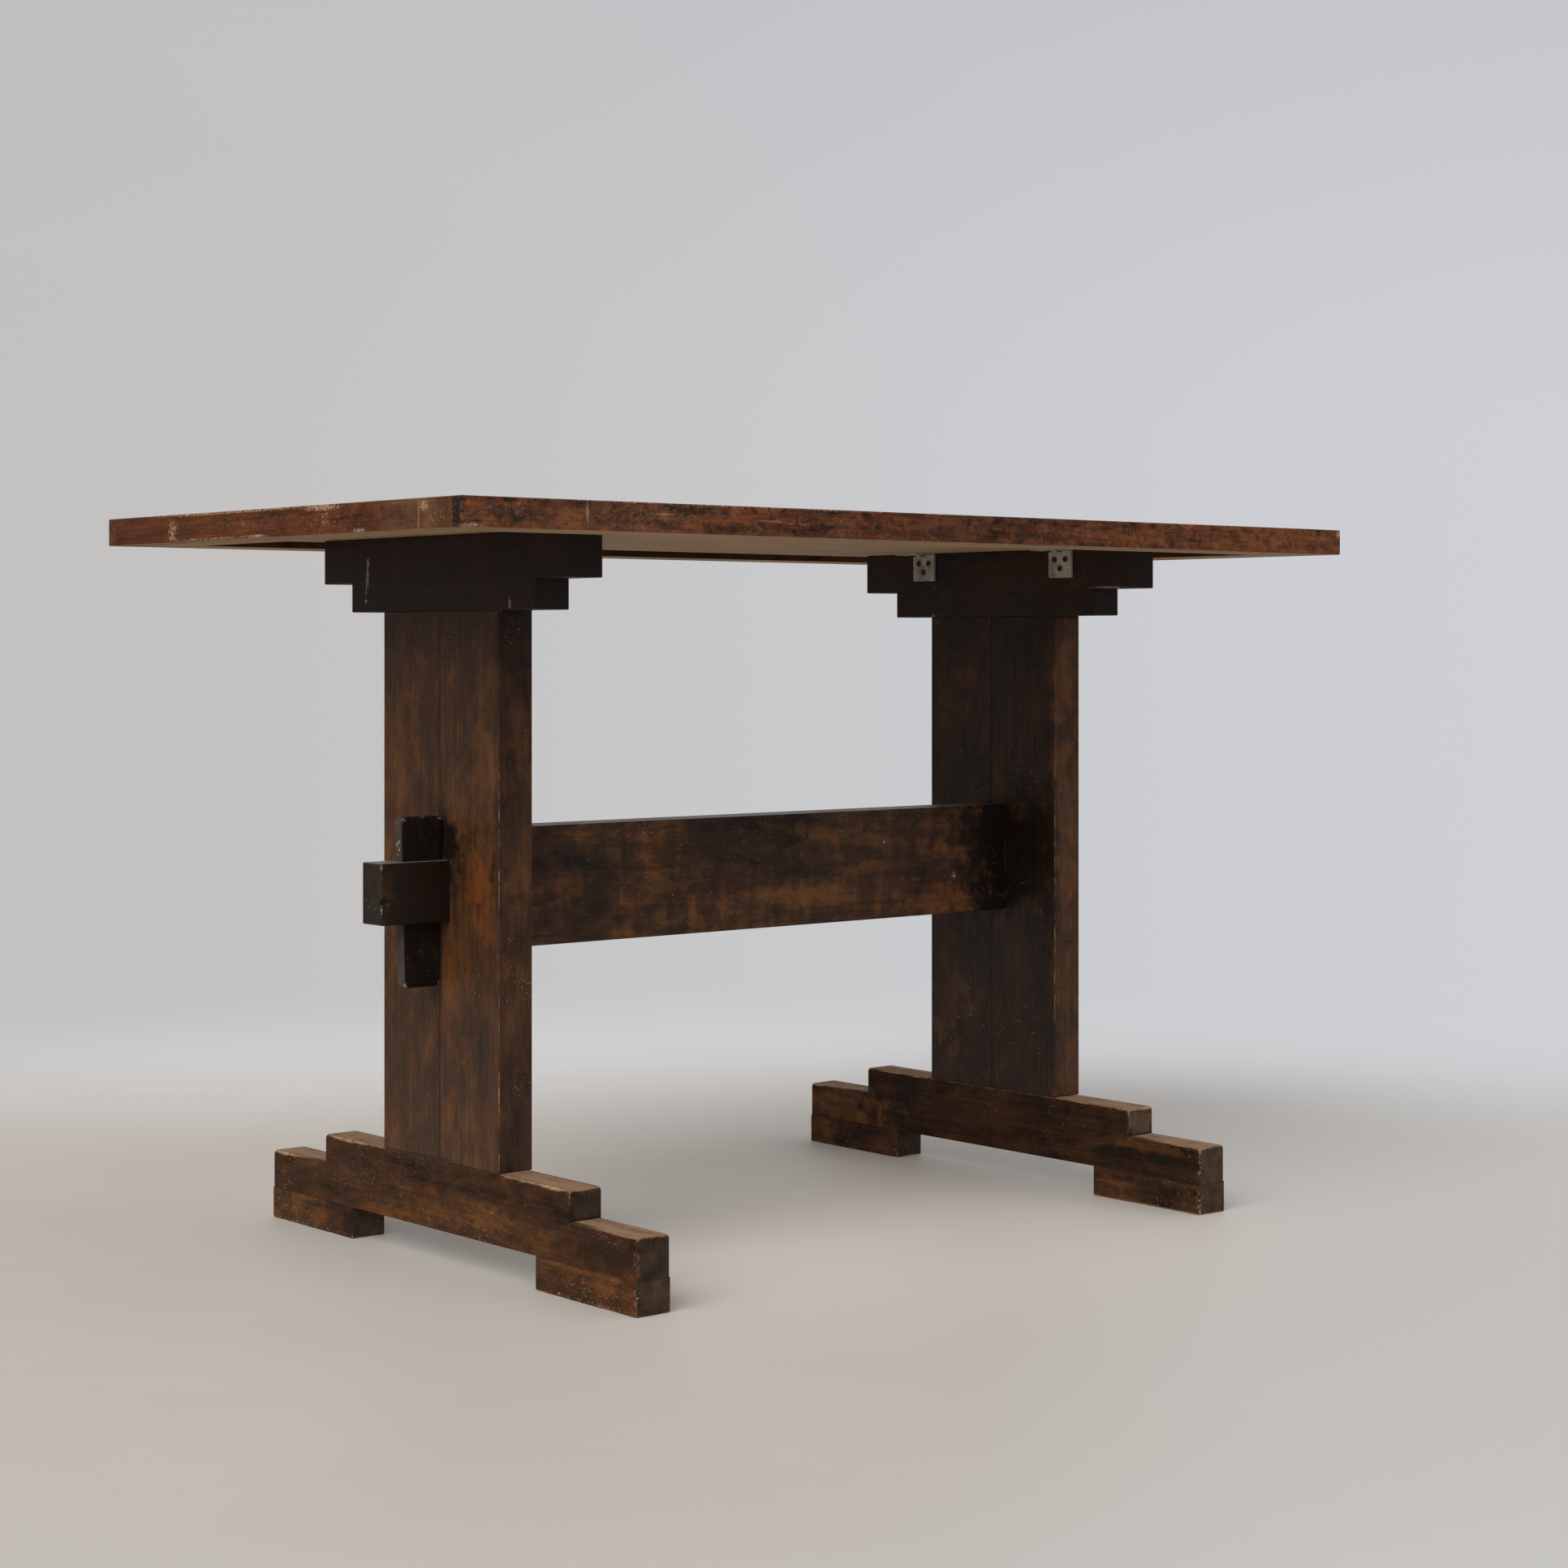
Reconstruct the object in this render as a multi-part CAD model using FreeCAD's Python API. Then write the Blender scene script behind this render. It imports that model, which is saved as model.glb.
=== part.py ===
"""Trestle dining table with a wedged through-tenon stretcher.

Frame: millimetres, +Z up, origin on the floor under the middle of the tabletop.
+X runs along the table and +Y across it.  Each trestle stands in a plane of constant X.
"left" is -X, "right" is +X, "front" is -Y and "back" is +Y.
"""

import FreeCAD, Part

import os

from FreeCAD import Vector

# ---- tabletop ----
TABLE_HEIGHT = 750.0
TOP_LENGTH = 1200.0
TOP_WIDTH = 650.0
TOP_EDGE_HEIGHT = 28.0        # depth of the edge all round
LIPPING_THICKNESS = 15.0
STRIP_HEIGHT = 7.0            # strips that thicken the rim under the panel
RIM_WIDTH = 70.0              # lipping and strip together, seen from below

# ---- trestles ----
TRESTLE_SPACING = 770.0       # between the middle planes of the two trestles
BOARD_THICKNESS = 40.0        # posts, feet and bearers are cut from the same stock
POST_WIDTH = 206.0            # two boards glued edge to edge
UPPER_TIER_LENGTH = 436.0     # of both the feet and the bearers

FOOT_LENGTH = 646.0
FOOT_LOWER_TIER = 40.0
FOOT_UPPER_TIER = 30.0
PAD_LENGTH = 160.0
PAD_HEIGHT = 33.0

BEARER_SHORT_LENGTH = 328.0   # of the tier below the upper one
BEARER_SHORT_TIER = 30.0
BEARER_UNDERSIDE = 653.0

FOOT_END_RADIUS = 3.0         # softened upright corners of the foot ends
TIER_EASING = 1.5             # softened top corners of the stepped planks

# ---- stretcher and its wedges ----
RAIL_THICKNESS = 44.0
RAIL_HEIGHT = 122.0
RAIL_MIDDLE_HEIGHT = 374.0
TENON_THICKNESS = 35.0
TENON_HEIGHT = 61.0
TENON_PROJECTION = 80.0       # past the outer face of the post
TENON_END_EASING = 2.0

WEDGE_THICKNESS = 13.0
WEDGE_TOP_WIDTH = 50.0
WEDGE_FOOT_WIDTH = 41.0
WEDGE_FOOT_Z = 279.0
WEDGE_HEIGHT = 169.5
WEDGE_TOP_RADIUS = 7.0
WEDGE_FOOT_RADIUS = 5.0
WEDGE_NOTCH_WIDTH = 5.0
WEDGE_NOTCH_DEPTH = 4.0
WEDGE_CLEARANCE = 0.2         # to the post and to the walls of the slot
SLOT_UNDERCUT = 3.0           # the slot starts this far inside the post

# ---- dowels between posts, feet and bearers ----
DOWEL_RADIUS = 6.0
DOWEL_DEPTH = 40.0            # into each of the two pieces
DOWEL_OFFSETS = (28.0, 78.0)  # from the middle seam of the post

# ---- angle brackets and their screws ----
BRACKET_WIDTH = 36.0
BRACKET_LEG = 33.0
BRACKET_THICKNESS = 2.5
BRACKET_OFFSET = 113.5        # from the middle of the bearer to the middle of the bracket
BRACKET_BEND_RADIUS = 3.0
BRACKET_CORNER_RADIUS = 2.5
SCREW_PAIR_SPACING = 17.0     # the two screws nearest the bend
SCREW_PAIR_ALONG = 12.0       # distance from the bend's outer face
SCREW_SINGLE_ALONG = 22.5
SCREW_SHANK_RADIUS = 1.8
SCREW_HEAD_RADIUS = 3.4
SCREW_HEAD_HEIGHT = 1.5
SCREW_SLOT_WIDTH = 0.9
SCREW_SLOT_DEPTH = 0.7
SCREW_LENGTH_IN_WOOD = 15.0

# ---- worked out from the above ----
TOP_UNDERSIDE = TABLE_HEIGHT - TOP_EDGE_HEIGHT
PANEL_UNDERSIDE = TOP_UNDERSIDE + STRIP_HEIGHT
PANEL_LENGTH = TOP_LENGTH - 2 * LIPPING_THICKNESS
PANEL_WIDTH = TOP_WIDTH - 2 * LIPPING_THICKNESS
STRIP_WIDTH = RIM_WIDTH - LIPPING_THICKNESS
TRESTLE_X = TRESTLE_SPACING / 2
HALF_BOARD = BOARD_THICKNESS / 2
POST_OUTER_X = TRESTLE_X + HALF_BOARD
POST_INNER_X = TRESTLE_X - HALF_BOARD
FOOT_STEP_Z = PAD_HEIGHT + FOOT_LOWER_TIER
FOOT_TOP_Z = FOOT_STEP_Z + FOOT_UPPER_TIER
BEARER_STEP_Z = BEARER_UNDERSIDE + BEARER_SHORT_TIER
WEDGE_TOP_Z = WEDGE_FOOT_Z + WEDGE_HEIGHT
WEDGE_X = POST_OUTER_X + WEDGE_CLEARANCE + WEDGE_TOP_WIDTH / 2
RAIL_END_X = POST_OUTER_X + TENON_PROJECTION

SIDES = (("left", -1), ("right", 1))
ENDS = (("front", -1), ("back", 1))


def block(x_range, y_range, z_range):
    """A box between the given limits, taken in either order."""
    low = Vector(min(x_range), min(y_range), min(z_range))
    high = Vector(max(x_range), max(y_range), max(z_range))
    size = high - low
    return Part.makeBox(size.x, size.y, size.z, low)


def upright_prism(outline, x_middle, thickness):
    """Extrude an outline of (y, z) points along X, centred on x_middle."""
    points = [Vector(x_middle - thickness / 2, y, z) for y, z in outline]
    face = Part.Face(Part.makePolygon(points + points[:1]))
    return face.extrude(Vector(thickness, 0, 0))


def round_edges(shape, radius, chosen):
    """Fillet the straight edges for which chosen(start, end) is true."""
    edges = []
    for edge in shape.Edges:
        start = edge.Vertexes[0].Point
        end = edge.Vertexes[-1].Point
        if chosen(start, end):
            edges.append(edge)
    return shape.makeFillet(radius, edges)


def runs_along_x(start, end):
    """True for an edge parallel to X."""
    return abs(start.y - end.y) < 1e-6 and abs(start.z - end.z) < 1e-6


def runs_along_y(start, end):
    """True for an edge parallel to Y."""
    return abs(start.x - end.x) < 1e-6 and abs(start.z - end.z) < 1e-6


def runs_along_z(start, end):
    """True for an edge parallel to Z."""
    return abs(start.x - end.x) < 1e-6 and abs(start.y - end.y) < 1e-6


def tabletop():
    """The panel, the strips that thicken its rim and the lippings round it."""
    half_length = TOP_LENGTH / 2
    half_width = TOP_WIDTH / 2
    panel_x = PANEL_LENGTH / 2
    panel_y = PANEL_WIDTH / 2
    edge_z = (TOP_UNDERSIDE, TABLE_HEIGHT)
    strip_z = (TOP_UNDERSIDE, PANEL_UNDERSIDE)
    pieces = {
        "tabletop_panel": block(
            (-panel_x, panel_x), (-panel_y, panel_y), (PANEL_UNDERSIDE, TABLE_HEIGHT)),
    }
    for name, sign in ENDS:
        pieces[f"{name}_edge_lipping"] = block(
            (-half_length, half_length), (sign * panel_y, sign * half_width), edge_z)
        pieces[f"{name}_underside_strip"] = block(
            (-panel_x, panel_x), (sign * (panel_y - STRIP_WIDTH), sign * panel_y), strip_z)
    strip_y = panel_y - STRIP_WIDTH
    for name, sign in SIDES:
        pieces[f"{name}_edge_lipping"] = block(
            (sign * panel_x, sign * half_length), (-panel_y, panel_y), edge_z)
        pieces[f"{name}_underside_strip"] = block(
            (sign * (panel_x - STRIP_WIDTH), sign * panel_x), (-strip_y, strip_y), strip_z)
    return pieces


def dowel_places(side):
    """(x, y) of the dowel axes in one trestle."""
    return [(side * TRESTLE_X, end * offset) for _, end in ENDS for offset in DOWEL_OFFSETS]


def dowel(x, y, joint_z):
    """A dowel that reaches equally far above and below the joint."""
    return Part.makeCylinder(DOWEL_RADIUS, 2 * DOWEL_DEPTH, Vector(x, y, joint_z - DOWEL_DEPTH))


def dowels():
    """Every dowel that joins a post to its foot or its bearer."""
    joints = (FOOT_TOP_Z, BEARER_UNDERSIDE)
    return [dowel(x, y, z) for _, side in SIDES for x, y in dowel_places(side) for z in joints]


def drill_for_dowels(shape, side, joint_z):
    """Cut the dowel holes of one joint out of a piece."""
    holes = [dowel(x, y, joint_z) for x, y in dowel_places(side)]
    return shape.cut(Part.makeCompound(holes))


def foot_plank(side):
    """A plank on edge whose upper tier is shorter than its lower one."""
    low = FOOT_LENGTH / 2
    high = UPPER_TIER_LENGTH / 2
    outline = [(-low, PAD_HEIGHT), (low, PAD_HEIGHT), (low, FOOT_STEP_Z), (high, FOOT_STEP_Z),
               (high, FOOT_TOP_Z), (-high, FOOT_TOP_Z), (-high, FOOT_STEP_Z), (-low, FOOT_STEP_Z)]
    plank = upright_prism(outline, side * TRESTLE_X, BOARD_THICKNESS)

    def end_corner(start, end):
        return runs_along_z(start, end) and abs(abs(start.y) - low) < 1e-6

    def top_corner(start, end):
        outer = abs(abs(start.y) - high) < 1e-6 and abs(start.z - FOOT_TOP_Z) < 1e-6
        return runs_along_x(start, end) and outer

    plank = round_edges(plank, FOOT_END_RADIUS, end_corner)
    plank = round_edges(plank, TIER_EASING, top_corner)
    return drill_for_dowels(plank, side, FOOT_TOP_Z)


def foot_pad(side, end):
    """A short block glued under one end of a foot plank."""
    outer = end * FOOT_LENGTH / 2
    inner = end * (FOOT_LENGTH / 2 - PAD_LENGTH)
    x_middle = side * TRESTLE_X
    pad = block((x_middle - HALF_BOARD, x_middle + HALF_BOARD), (inner, outer), (0, PAD_HEIGHT))

    def end_corner(start, end_point):
        return runs_along_z(start, end_point) and abs(start.y - outer) < 1e-6

    return round_edges(pad, FOOT_END_RADIUS, end_corner)


def bearer(side):
    """The plank under the tabletop: a long upper tier over a shorter lower one."""
    long_half = UPPER_TIER_LENGTH / 2
    short_half = BEARER_SHORT_LENGTH / 2
    outline = [(-short_half, BEARER_UNDERSIDE), (short_half, BEARER_UNDERSIDE),
               (short_half, BEARER_STEP_Z), (long_half, BEARER_STEP_Z),
               (long_half, PANEL_UNDERSIDE), (-long_half, PANEL_UNDERSIDE),
               (-long_half, BEARER_STEP_Z), (-short_half, BEARER_STEP_Z)]
    plank = upright_prism(outline, side * TRESTLE_X, BOARD_THICKNESS)

    def low_corner(start, end):
        lowest = abs(start.z - BEARER_UNDERSIDE) < 1e-6
        step_end = abs(start.z - BEARER_STEP_Z) < 1e-6 and abs(abs(start.y) - long_half) < 1e-6
        return runs_along_x(start, end) and (lowest or step_end)

    plank = round_edges(plank, TIER_EASING, low_corner)
    return drill_for_dowels(plank, side, BEARER_UNDERSIDE)


def post_board(side, end):
    """One of the two boards of a post, notched round half of the stretcher's tenon."""
    x_middle = side * TRESTLE_X
    x_range = (x_middle - HALF_BOARD, x_middle + HALF_BOARD)
    board = block(x_range, (0, end * POST_WIDTH / 2), (FOOT_TOP_Z, BEARER_UNDERSIDE))
    tenon_low = RAIL_MIDDLE_HEIGHT - TENON_HEIGHT / 2
    notch = block(x_range, (0, end * TENON_THICKNESS / 2), (tenon_low, tenon_low + TENON_HEIGHT))
    board = board.cut(notch)
    board = drill_for_dowels(board, side, FOOT_TOP_Z)
    return drill_for_dowels(board, side, BEARER_UNDERSIDE)


def wedge_half_width(z):
    """Half of the wedge's width at a height, from its straight taper."""
    share = (z - WEDGE_FOOT_Z) / WEDGE_HEIGHT
    return (WEDGE_FOOT_WIDTH + (WEDGE_TOP_WIDTH - WEDGE_FOOT_WIDTH) * share) / 2


def flat_prism(outline, thickness):
    """Extrude an outline of (x, z) points along Y, centred on the plane y = 0."""
    points = [Vector(x, -thickness / 2, z) for x, z in outline]
    face = Part.Face(Part.makePolygon(points + points[:1]))
    return face.extrude(Vector(0, thickness, 0))


def wedge_slot(side):
    """The tapered slot through a tenon, open to the inside of the post's mortise."""
    low = RAIL_MIDDLE_HEIGHT - TENON_HEIGHT / 2
    high = RAIL_MIDDLE_HEIGHT + TENON_HEIGHT / 2
    inner = POST_OUTER_X - SLOT_UNDERCUT
    outline = [(side * inner, low), (side * inner, high)]
    for z in (high, low):
        outline.append((side * (WEDGE_X + wedge_half_width(z) + WEDGE_CLEARANCE), z))
    return flat_prism(outline, WEDGE_THICKNESS + 2 * WEDGE_CLEARANCE)


def stretcher_rail():
    """The stretcher with a reduced, slotted tenon at each end."""
    body = block(
        (-POST_INNER_X, POST_INNER_X),
        (-RAIL_THICKNESS / 2, RAIL_THICKNESS / 2),
        (RAIL_MIDDLE_HEIGHT - RAIL_HEIGHT / 2, RAIL_MIDDLE_HEIGHT + RAIL_HEIGHT / 2))
    tenons = block(
        (-RAIL_END_X, RAIL_END_X),
        (-TENON_THICKNESS / 2, TENON_THICKNESS / 2),
        (RAIL_MIDDLE_HEIGHT - TENON_HEIGHT / 2, RAIL_MIDDLE_HEIGHT + TENON_HEIGHT / 2))
    rail = body.fuse(tenons).removeSplitter()

    def tenon_end(start, end):
        at_end = abs(abs(start.x) - RAIL_END_X) < 1e-6 and abs(abs(end.x) - RAIL_END_X) < 1e-6
        return at_end and (runs_along_y(start, end) or runs_along_z(start, end))

    rail = round_edges(rail, TENON_END_EASING, tenon_end)
    for _, side in SIDES:
        rail = rail.cut(wedge_slot(side))
    return rail


def wedge(side):
    """A loose wedge that tapers on both edges, with a nick in its top."""
    top = WEDGE_TOP_WIDTH / 2
    foot = WEDGE_FOOT_WIDTH / 2
    outline = [(-foot, WEDGE_FOOT_Z), (foot, WEDGE_FOOT_Z), (top, WEDGE_TOP_Z), (-top, WEDGE_TOP_Z)]
    body = flat_prism([(side * WEDGE_X + x, z) for x, z in outline], WEDGE_THICKNESS)

    def corner_at(height):
        return lambda start, end: runs_along_y(start, end) and abs(start.z - height) < 1e-6

    body = round_edges(body, WEDGE_TOP_RADIUS, corner_at(WEDGE_TOP_Z))
    body = round_edges(body, WEDGE_FOOT_RADIUS, corner_at(WEDGE_FOOT_Z))
    half = WEDGE_NOTCH_WIDTH / 2
    nick = [(-half, WEDGE_TOP_Z), (0, WEDGE_TOP_Z - WEDGE_NOTCH_DEPTH), (half, WEDGE_TOP_Z)]
    return body.cut(flat_prism([(side * WEDGE_X + x, z) for x, z in nick], WEDGE_THICKNESS))


def screw_places():
    """(along the leg, across the bracket) of the three screws of one leg."""
    half = SCREW_PAIR_SPACING / 2
    return [(SCREW_PAIR_ALONG, -half), (SCREW_PAIR_ALONG, half), (SCREW_SINGLE_ALONG, 0.0)]


def bracket_leg(hole_depth):
    """One drilled leg lying in the XY plane, its outer face at z = 0 and its bend at x = 0."""
    half = BRACKET_WIDTH / 2
    leg = Part.makeBox(BRACKET_LEG, BRACKET_WIDTH, BRACKET_THICKNESS, Vector(0, -half, 0))

    def free_corner(start, end):
        return runs_along_z(start, end) and abs(start.x - BRACKET_LEG) < 1e-6

    leg = round_edges(leg, BRACKET_CORNER_RADIUS, free_corner)
    for along, across in screw_places():
        leg = leg.cut(Part.makeCylinder(SCREW_SHANK_RADIUS, hole_depth, Vector(along, across, 0)))
    return leg


def bracket_shape():
    """An angle bracket in its own frame: legs along +X and +Z, outer faces on z = 0 and x = 0."""
    flat = bracket_leg(BRACKET_THICKNESS)
    upright = bracket_leg(BRACKET_THICKNESS)
    upright.rotate(Vector(0, 0, 0), Vector(0, 1, 0), -90)
    upright.translate(Vector(BRACKET_THICKNESS, 0, 0))
    whole = flat.fuse(upright).removeSplitter()

    def outer_bend(start, end):
        return runs_along_y(start, end) and abs(start.x) < 1e-6 and abs(start.z) < 1e-6

    return round_edges(whole, BRACKET_BEND_RADIUS, outer_bend)


def screw_shape():
    """A round-headed slotted screw along +Z: its head stands above z = 0, its shank goes below."""
    head = Part.makeCylinder(SCREW_HEAD_RADIUS, SCREW_HEAD_HEIGHT)
    rim = [edge for edge in head.Edges if edge.Closed and edge.BoundBox.ZMin > SCREW_HEAD_HEIGHT / 2]
    head = head.makeFillet(SCREW_HEAD_HEIGHT * 0.7, rim)
    slot = Part.makeBox(2 * SCREW_HEAD_RADIUS, SCREW_SLOT_WIDTH, SCREW_SLOT_DEPTH)
    slot.translate(Vector(-SCREW_HEAD_RADIUS, -SCREW_SLOT_WIDTH / 2,
                          SCREW_HEAD_HEIGHT - SCREW_SLOT_DEPTH))
    length = BRACKET_THICKNESS + SCREW_LENGTH_IN_WOOD
    point = 2 * SCREW_SHANK_RADIUS
    shank = Part.makeCylinder(SCREW_SHANK_RADIUS, length - point, Vector(0, 0, point - length))
    tip = Part.makeCone(0.3, SCREW_SHANK_RADIUS, point, Vector(0, 0, -length))
    return head.cut(slot).fuse([shank, tip]).removeSplitter()


def place_in_table(shape, side, end):
    """Move a shape from the bracket's own frame into the inner corner of a bearer and the panel."""
    placed = shape.copy()
    placed.rotate(Vector(0, 0, 0), Vector(1, 0, 0), 180)
    if side > 0:
        placed.rotate(Vector(0, 0, 0), Vector(0, 0, 1), 180)
    placed.translate(Vector(side * POST_INNER_X, end * BRACKET_OFFSET, PANEL_UNDERSIDE))
    return placed


def bracket_screws():
    """The screws of one bracket, in the bracket's own frame."""
    screws = []
    for along, across in screw_places():
        flat = screw_shape()
        flat.translate(Vector(along, across, BRACKET_THICKNESS))
        upright = screw_shape()
        upright.rotate(Vector(0, 0, 0), Vector(0, 1, 0), 90)
        upright.translate(Vector(BRACKET_THICKNESS, across, along))
        screws += [flat, upright]
    return screws


def screw_hole_tool(side):
    """The screws of one trestle's two brackets, in place."""
    tools = []
    for _, end in ENDS:
        tools += [place_in_table(screw, side, end) for screw in bracket_screws()]
    return tools


def build():
    """Every node of the table, by name."""
    nodes = tabletop()
    all_screws = []
    for side_name, side in SIDES:
        screws = screw_hole_tool(side)
        all_screws += screws
        nodes["tabletop_panel"] = nodes["tabletop_panel"].cut(Part.makeCompound(screws))
        nodes[f"{side_name}_bearer"] = bearer(side).cut(Part.makeCompound(screws))
        nodes[f"{side_name}_foot_plank"] = foot_plank(side)
        nodes[f"{side_name}_wedge"] = wedge(side)
        for end_name, end in ENDS:
            nodes[f"{side_name}_post_{end_name}_board"] = post_board(side, end)
            nodes[f"{side_name}_foot_{end_name}_pad"] = foot_pad(side, end)
            nodes[f"{side_name}_{end_name}_bracket"] = place_in_table(bracket_shape(), side, end)
    nodes["stretcher_rail"] = stretcher_rail()
    nodes["post_dowels"] = Part.makeCompound(dowels())
    nodes["bracket_screws"] = Part.makeCompound(all_screws)
    return nodes


def main():
    """Write one STEP file per node."""
    os.makedirs("parts", exist_ok=True)
    for name, shape in build().items():
        shape.exportStep(f"parts/{name}.step")


if __name__ == "__main__":
    main()
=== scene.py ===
"""A trestle dining table in stained, worn birch: each piece shaped and finished by its own operator."""

import math

import bmesh
import bpy
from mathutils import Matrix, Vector


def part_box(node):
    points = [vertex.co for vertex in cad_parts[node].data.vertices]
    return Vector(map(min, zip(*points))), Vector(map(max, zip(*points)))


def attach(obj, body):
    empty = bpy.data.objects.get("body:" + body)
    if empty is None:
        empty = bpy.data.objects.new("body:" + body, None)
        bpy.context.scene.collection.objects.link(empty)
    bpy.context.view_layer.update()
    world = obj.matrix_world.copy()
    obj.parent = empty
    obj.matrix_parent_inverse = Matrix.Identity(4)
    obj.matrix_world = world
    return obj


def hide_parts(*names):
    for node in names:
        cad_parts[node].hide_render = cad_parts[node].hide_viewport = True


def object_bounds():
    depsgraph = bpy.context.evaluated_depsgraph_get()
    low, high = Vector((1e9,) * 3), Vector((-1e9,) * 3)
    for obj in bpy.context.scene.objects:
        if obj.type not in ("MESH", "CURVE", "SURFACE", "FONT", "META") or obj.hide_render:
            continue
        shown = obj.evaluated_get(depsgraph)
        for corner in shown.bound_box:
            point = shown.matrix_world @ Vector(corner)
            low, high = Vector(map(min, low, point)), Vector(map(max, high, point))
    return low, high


bl_info = {
    "name": "Trestle Dining Table",
    "version": (1, 0, 0),
    "blender": (4, 5, 0),
    "location": "3D View > Sidebar > Trestle Table",
    "description": "Shapes and finishes the pieces of a wedged trestle table",
    "category": "Object",
}

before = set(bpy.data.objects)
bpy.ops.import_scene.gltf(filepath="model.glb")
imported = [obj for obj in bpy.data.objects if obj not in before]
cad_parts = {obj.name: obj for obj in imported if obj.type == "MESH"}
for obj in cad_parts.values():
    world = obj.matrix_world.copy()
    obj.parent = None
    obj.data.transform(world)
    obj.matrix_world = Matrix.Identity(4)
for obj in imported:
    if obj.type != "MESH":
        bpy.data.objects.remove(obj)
CAD_LOW, CAD_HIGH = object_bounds()

TABLE = "table"
SIDES = (("left", -1), ("right", 1))
ENDS = (("front", -1), ("back", 1))
FLAT = 0.995                    # a face whose normal is nearer to an axis than this is flat
SQUARE_CORNER = math.radians(60)
SMOOTH_CORNER = math.radians(40)
NEAR_SEAM = 0.0011              # an edge nearer to a seam than this is glued there
SMALL_MARK, TINY_MARK = 0.0075, 0.0022      # marks with a half size below these have finer rims

# Where the pieces meet and where their faces lie, in metres.
PANEL_UNDERSIDE = 0.729
RIM_UNDERSIDE = 0.722
LIPPING_JOINTS = [(0, 0.585), (1, 0.31)]
RIM_INNER_EDGES = [(0, 0.53), (1, 0.255)]
BEARER_UNDERSIDE = 0.653
FOOT_TOP = 0.103
PAD_TOP = 0.033
OUTER_FACE = 0.405              # from the table's middle to a post's outer face
INNER_FACE = 0.365              # and to its inner face, where the rail's shoulder is
POST_EDGE = 0.103
RAIL_FACE = 0.022
TENON_FACE = 0.0175
TENON_LOW, TENON_HIGH = 0.3435, 0.4045

# The stains of each wood: where it lies thick, over most of the wood, and where it is thin.
WALNUT = ("deep", "walnut", "golden")
EBONY = ("black", "ebony", "umber")
BLACKENED = ("black", "black", "umber")
RUSSET = ("deep", "russet", "amber")
UNSTAINED = ("bare_dark", "bare", "bare")

VIEWPOINT = (-2.07687, -2.49986, 0.61473)
VIEW_TURN = math.radians(-40.35)
AHEAD = (0.6475, 0.7621, 0.0)           # the level direction from the viewpoint to the table
TO_THE_RIGHT = (0.7621, -0.6475, 0.0)


def paint(red, green, blue):
    """A linear colour from the numbers of a paint card, 0 to 255."""
    linear = []
    for channel in (red, green, blue):
        share = channel / 255
        linear.append(share / 12.92 if share <= 0.04045 else ((share + 0.055) / 1.055) ** 2.4)
    return (*linear, 1.0)


# ---------------------------------------------------------------- sizes and colours

def length_of(name, default, description):
    return bpy.props.FloatProperty(
        name=name, default=default, min=0.0, precision=5, unit="LENGTH", description=description)


def colour_of(name, card, description):
    return bpy.props.FloatVectorProperty(
        name=name, default=paint(*card), size=4, min=0.0, max=1.0, subtype="COLOR", description=description)


def strength_of(name, default, description):
    return bpy.props.FloatProperty(
        name=name, default=default, min=0.0, subtype="UNSIGNED", description=description)


class TrestleTableSizes(bpy.types.PropertyGroup):
    """How far the pieces are eased, and where their steps are."""

    lipping_easing: length_of("Lipping easing", 0.0013, "Rounding of the tabletop's outer edges")
    seam_easing: length_of("Seam easing", 0.0004, "Rounding of two edges that are glued together")
    post_easing: length_of("Post easing", 0.0016, "Rounding of a post's four long edges")
    foot_easing: length_of("Foot easing", 0.0043, "Rounding of a foot's worn edges")
    bearer_easing: length_of("Bearer easing", 0.0012, "Rounding of a bearer's edges")
    rail_easing: length_of("Rail easing", 0.0014, "Rounding of the stretcher rail's edges")
    wedge_easing: length_of("Wedge easing", 0.0012, "Rounding of a wedge's edges")
    wedge_shoulder: length_of("Wedge shoulder", 0.007, "Radius of a wedge's two upper corners")
    wedge_toe: length_of("Wedge toe", 0.005, "Radius of a wedge's two lower corners")
    foot_step: length_of("Foot step", 0.218, "Half the length of a foot plank's upper tier")
    foot_step_level: length_of("Foot step level", 0.073, "Height at which a foot plank steps in")
    bearer_step: length_of("Bearer step", 0.164, "Half the length of a bearer's lower tier")
    bearer_step_level: length_of("Bearer step level", 0.683, "Height at which a bearer steps in")
    wear_band: length_of("Wear band", 0.005, "How far wear reaches in from an edge")


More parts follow.
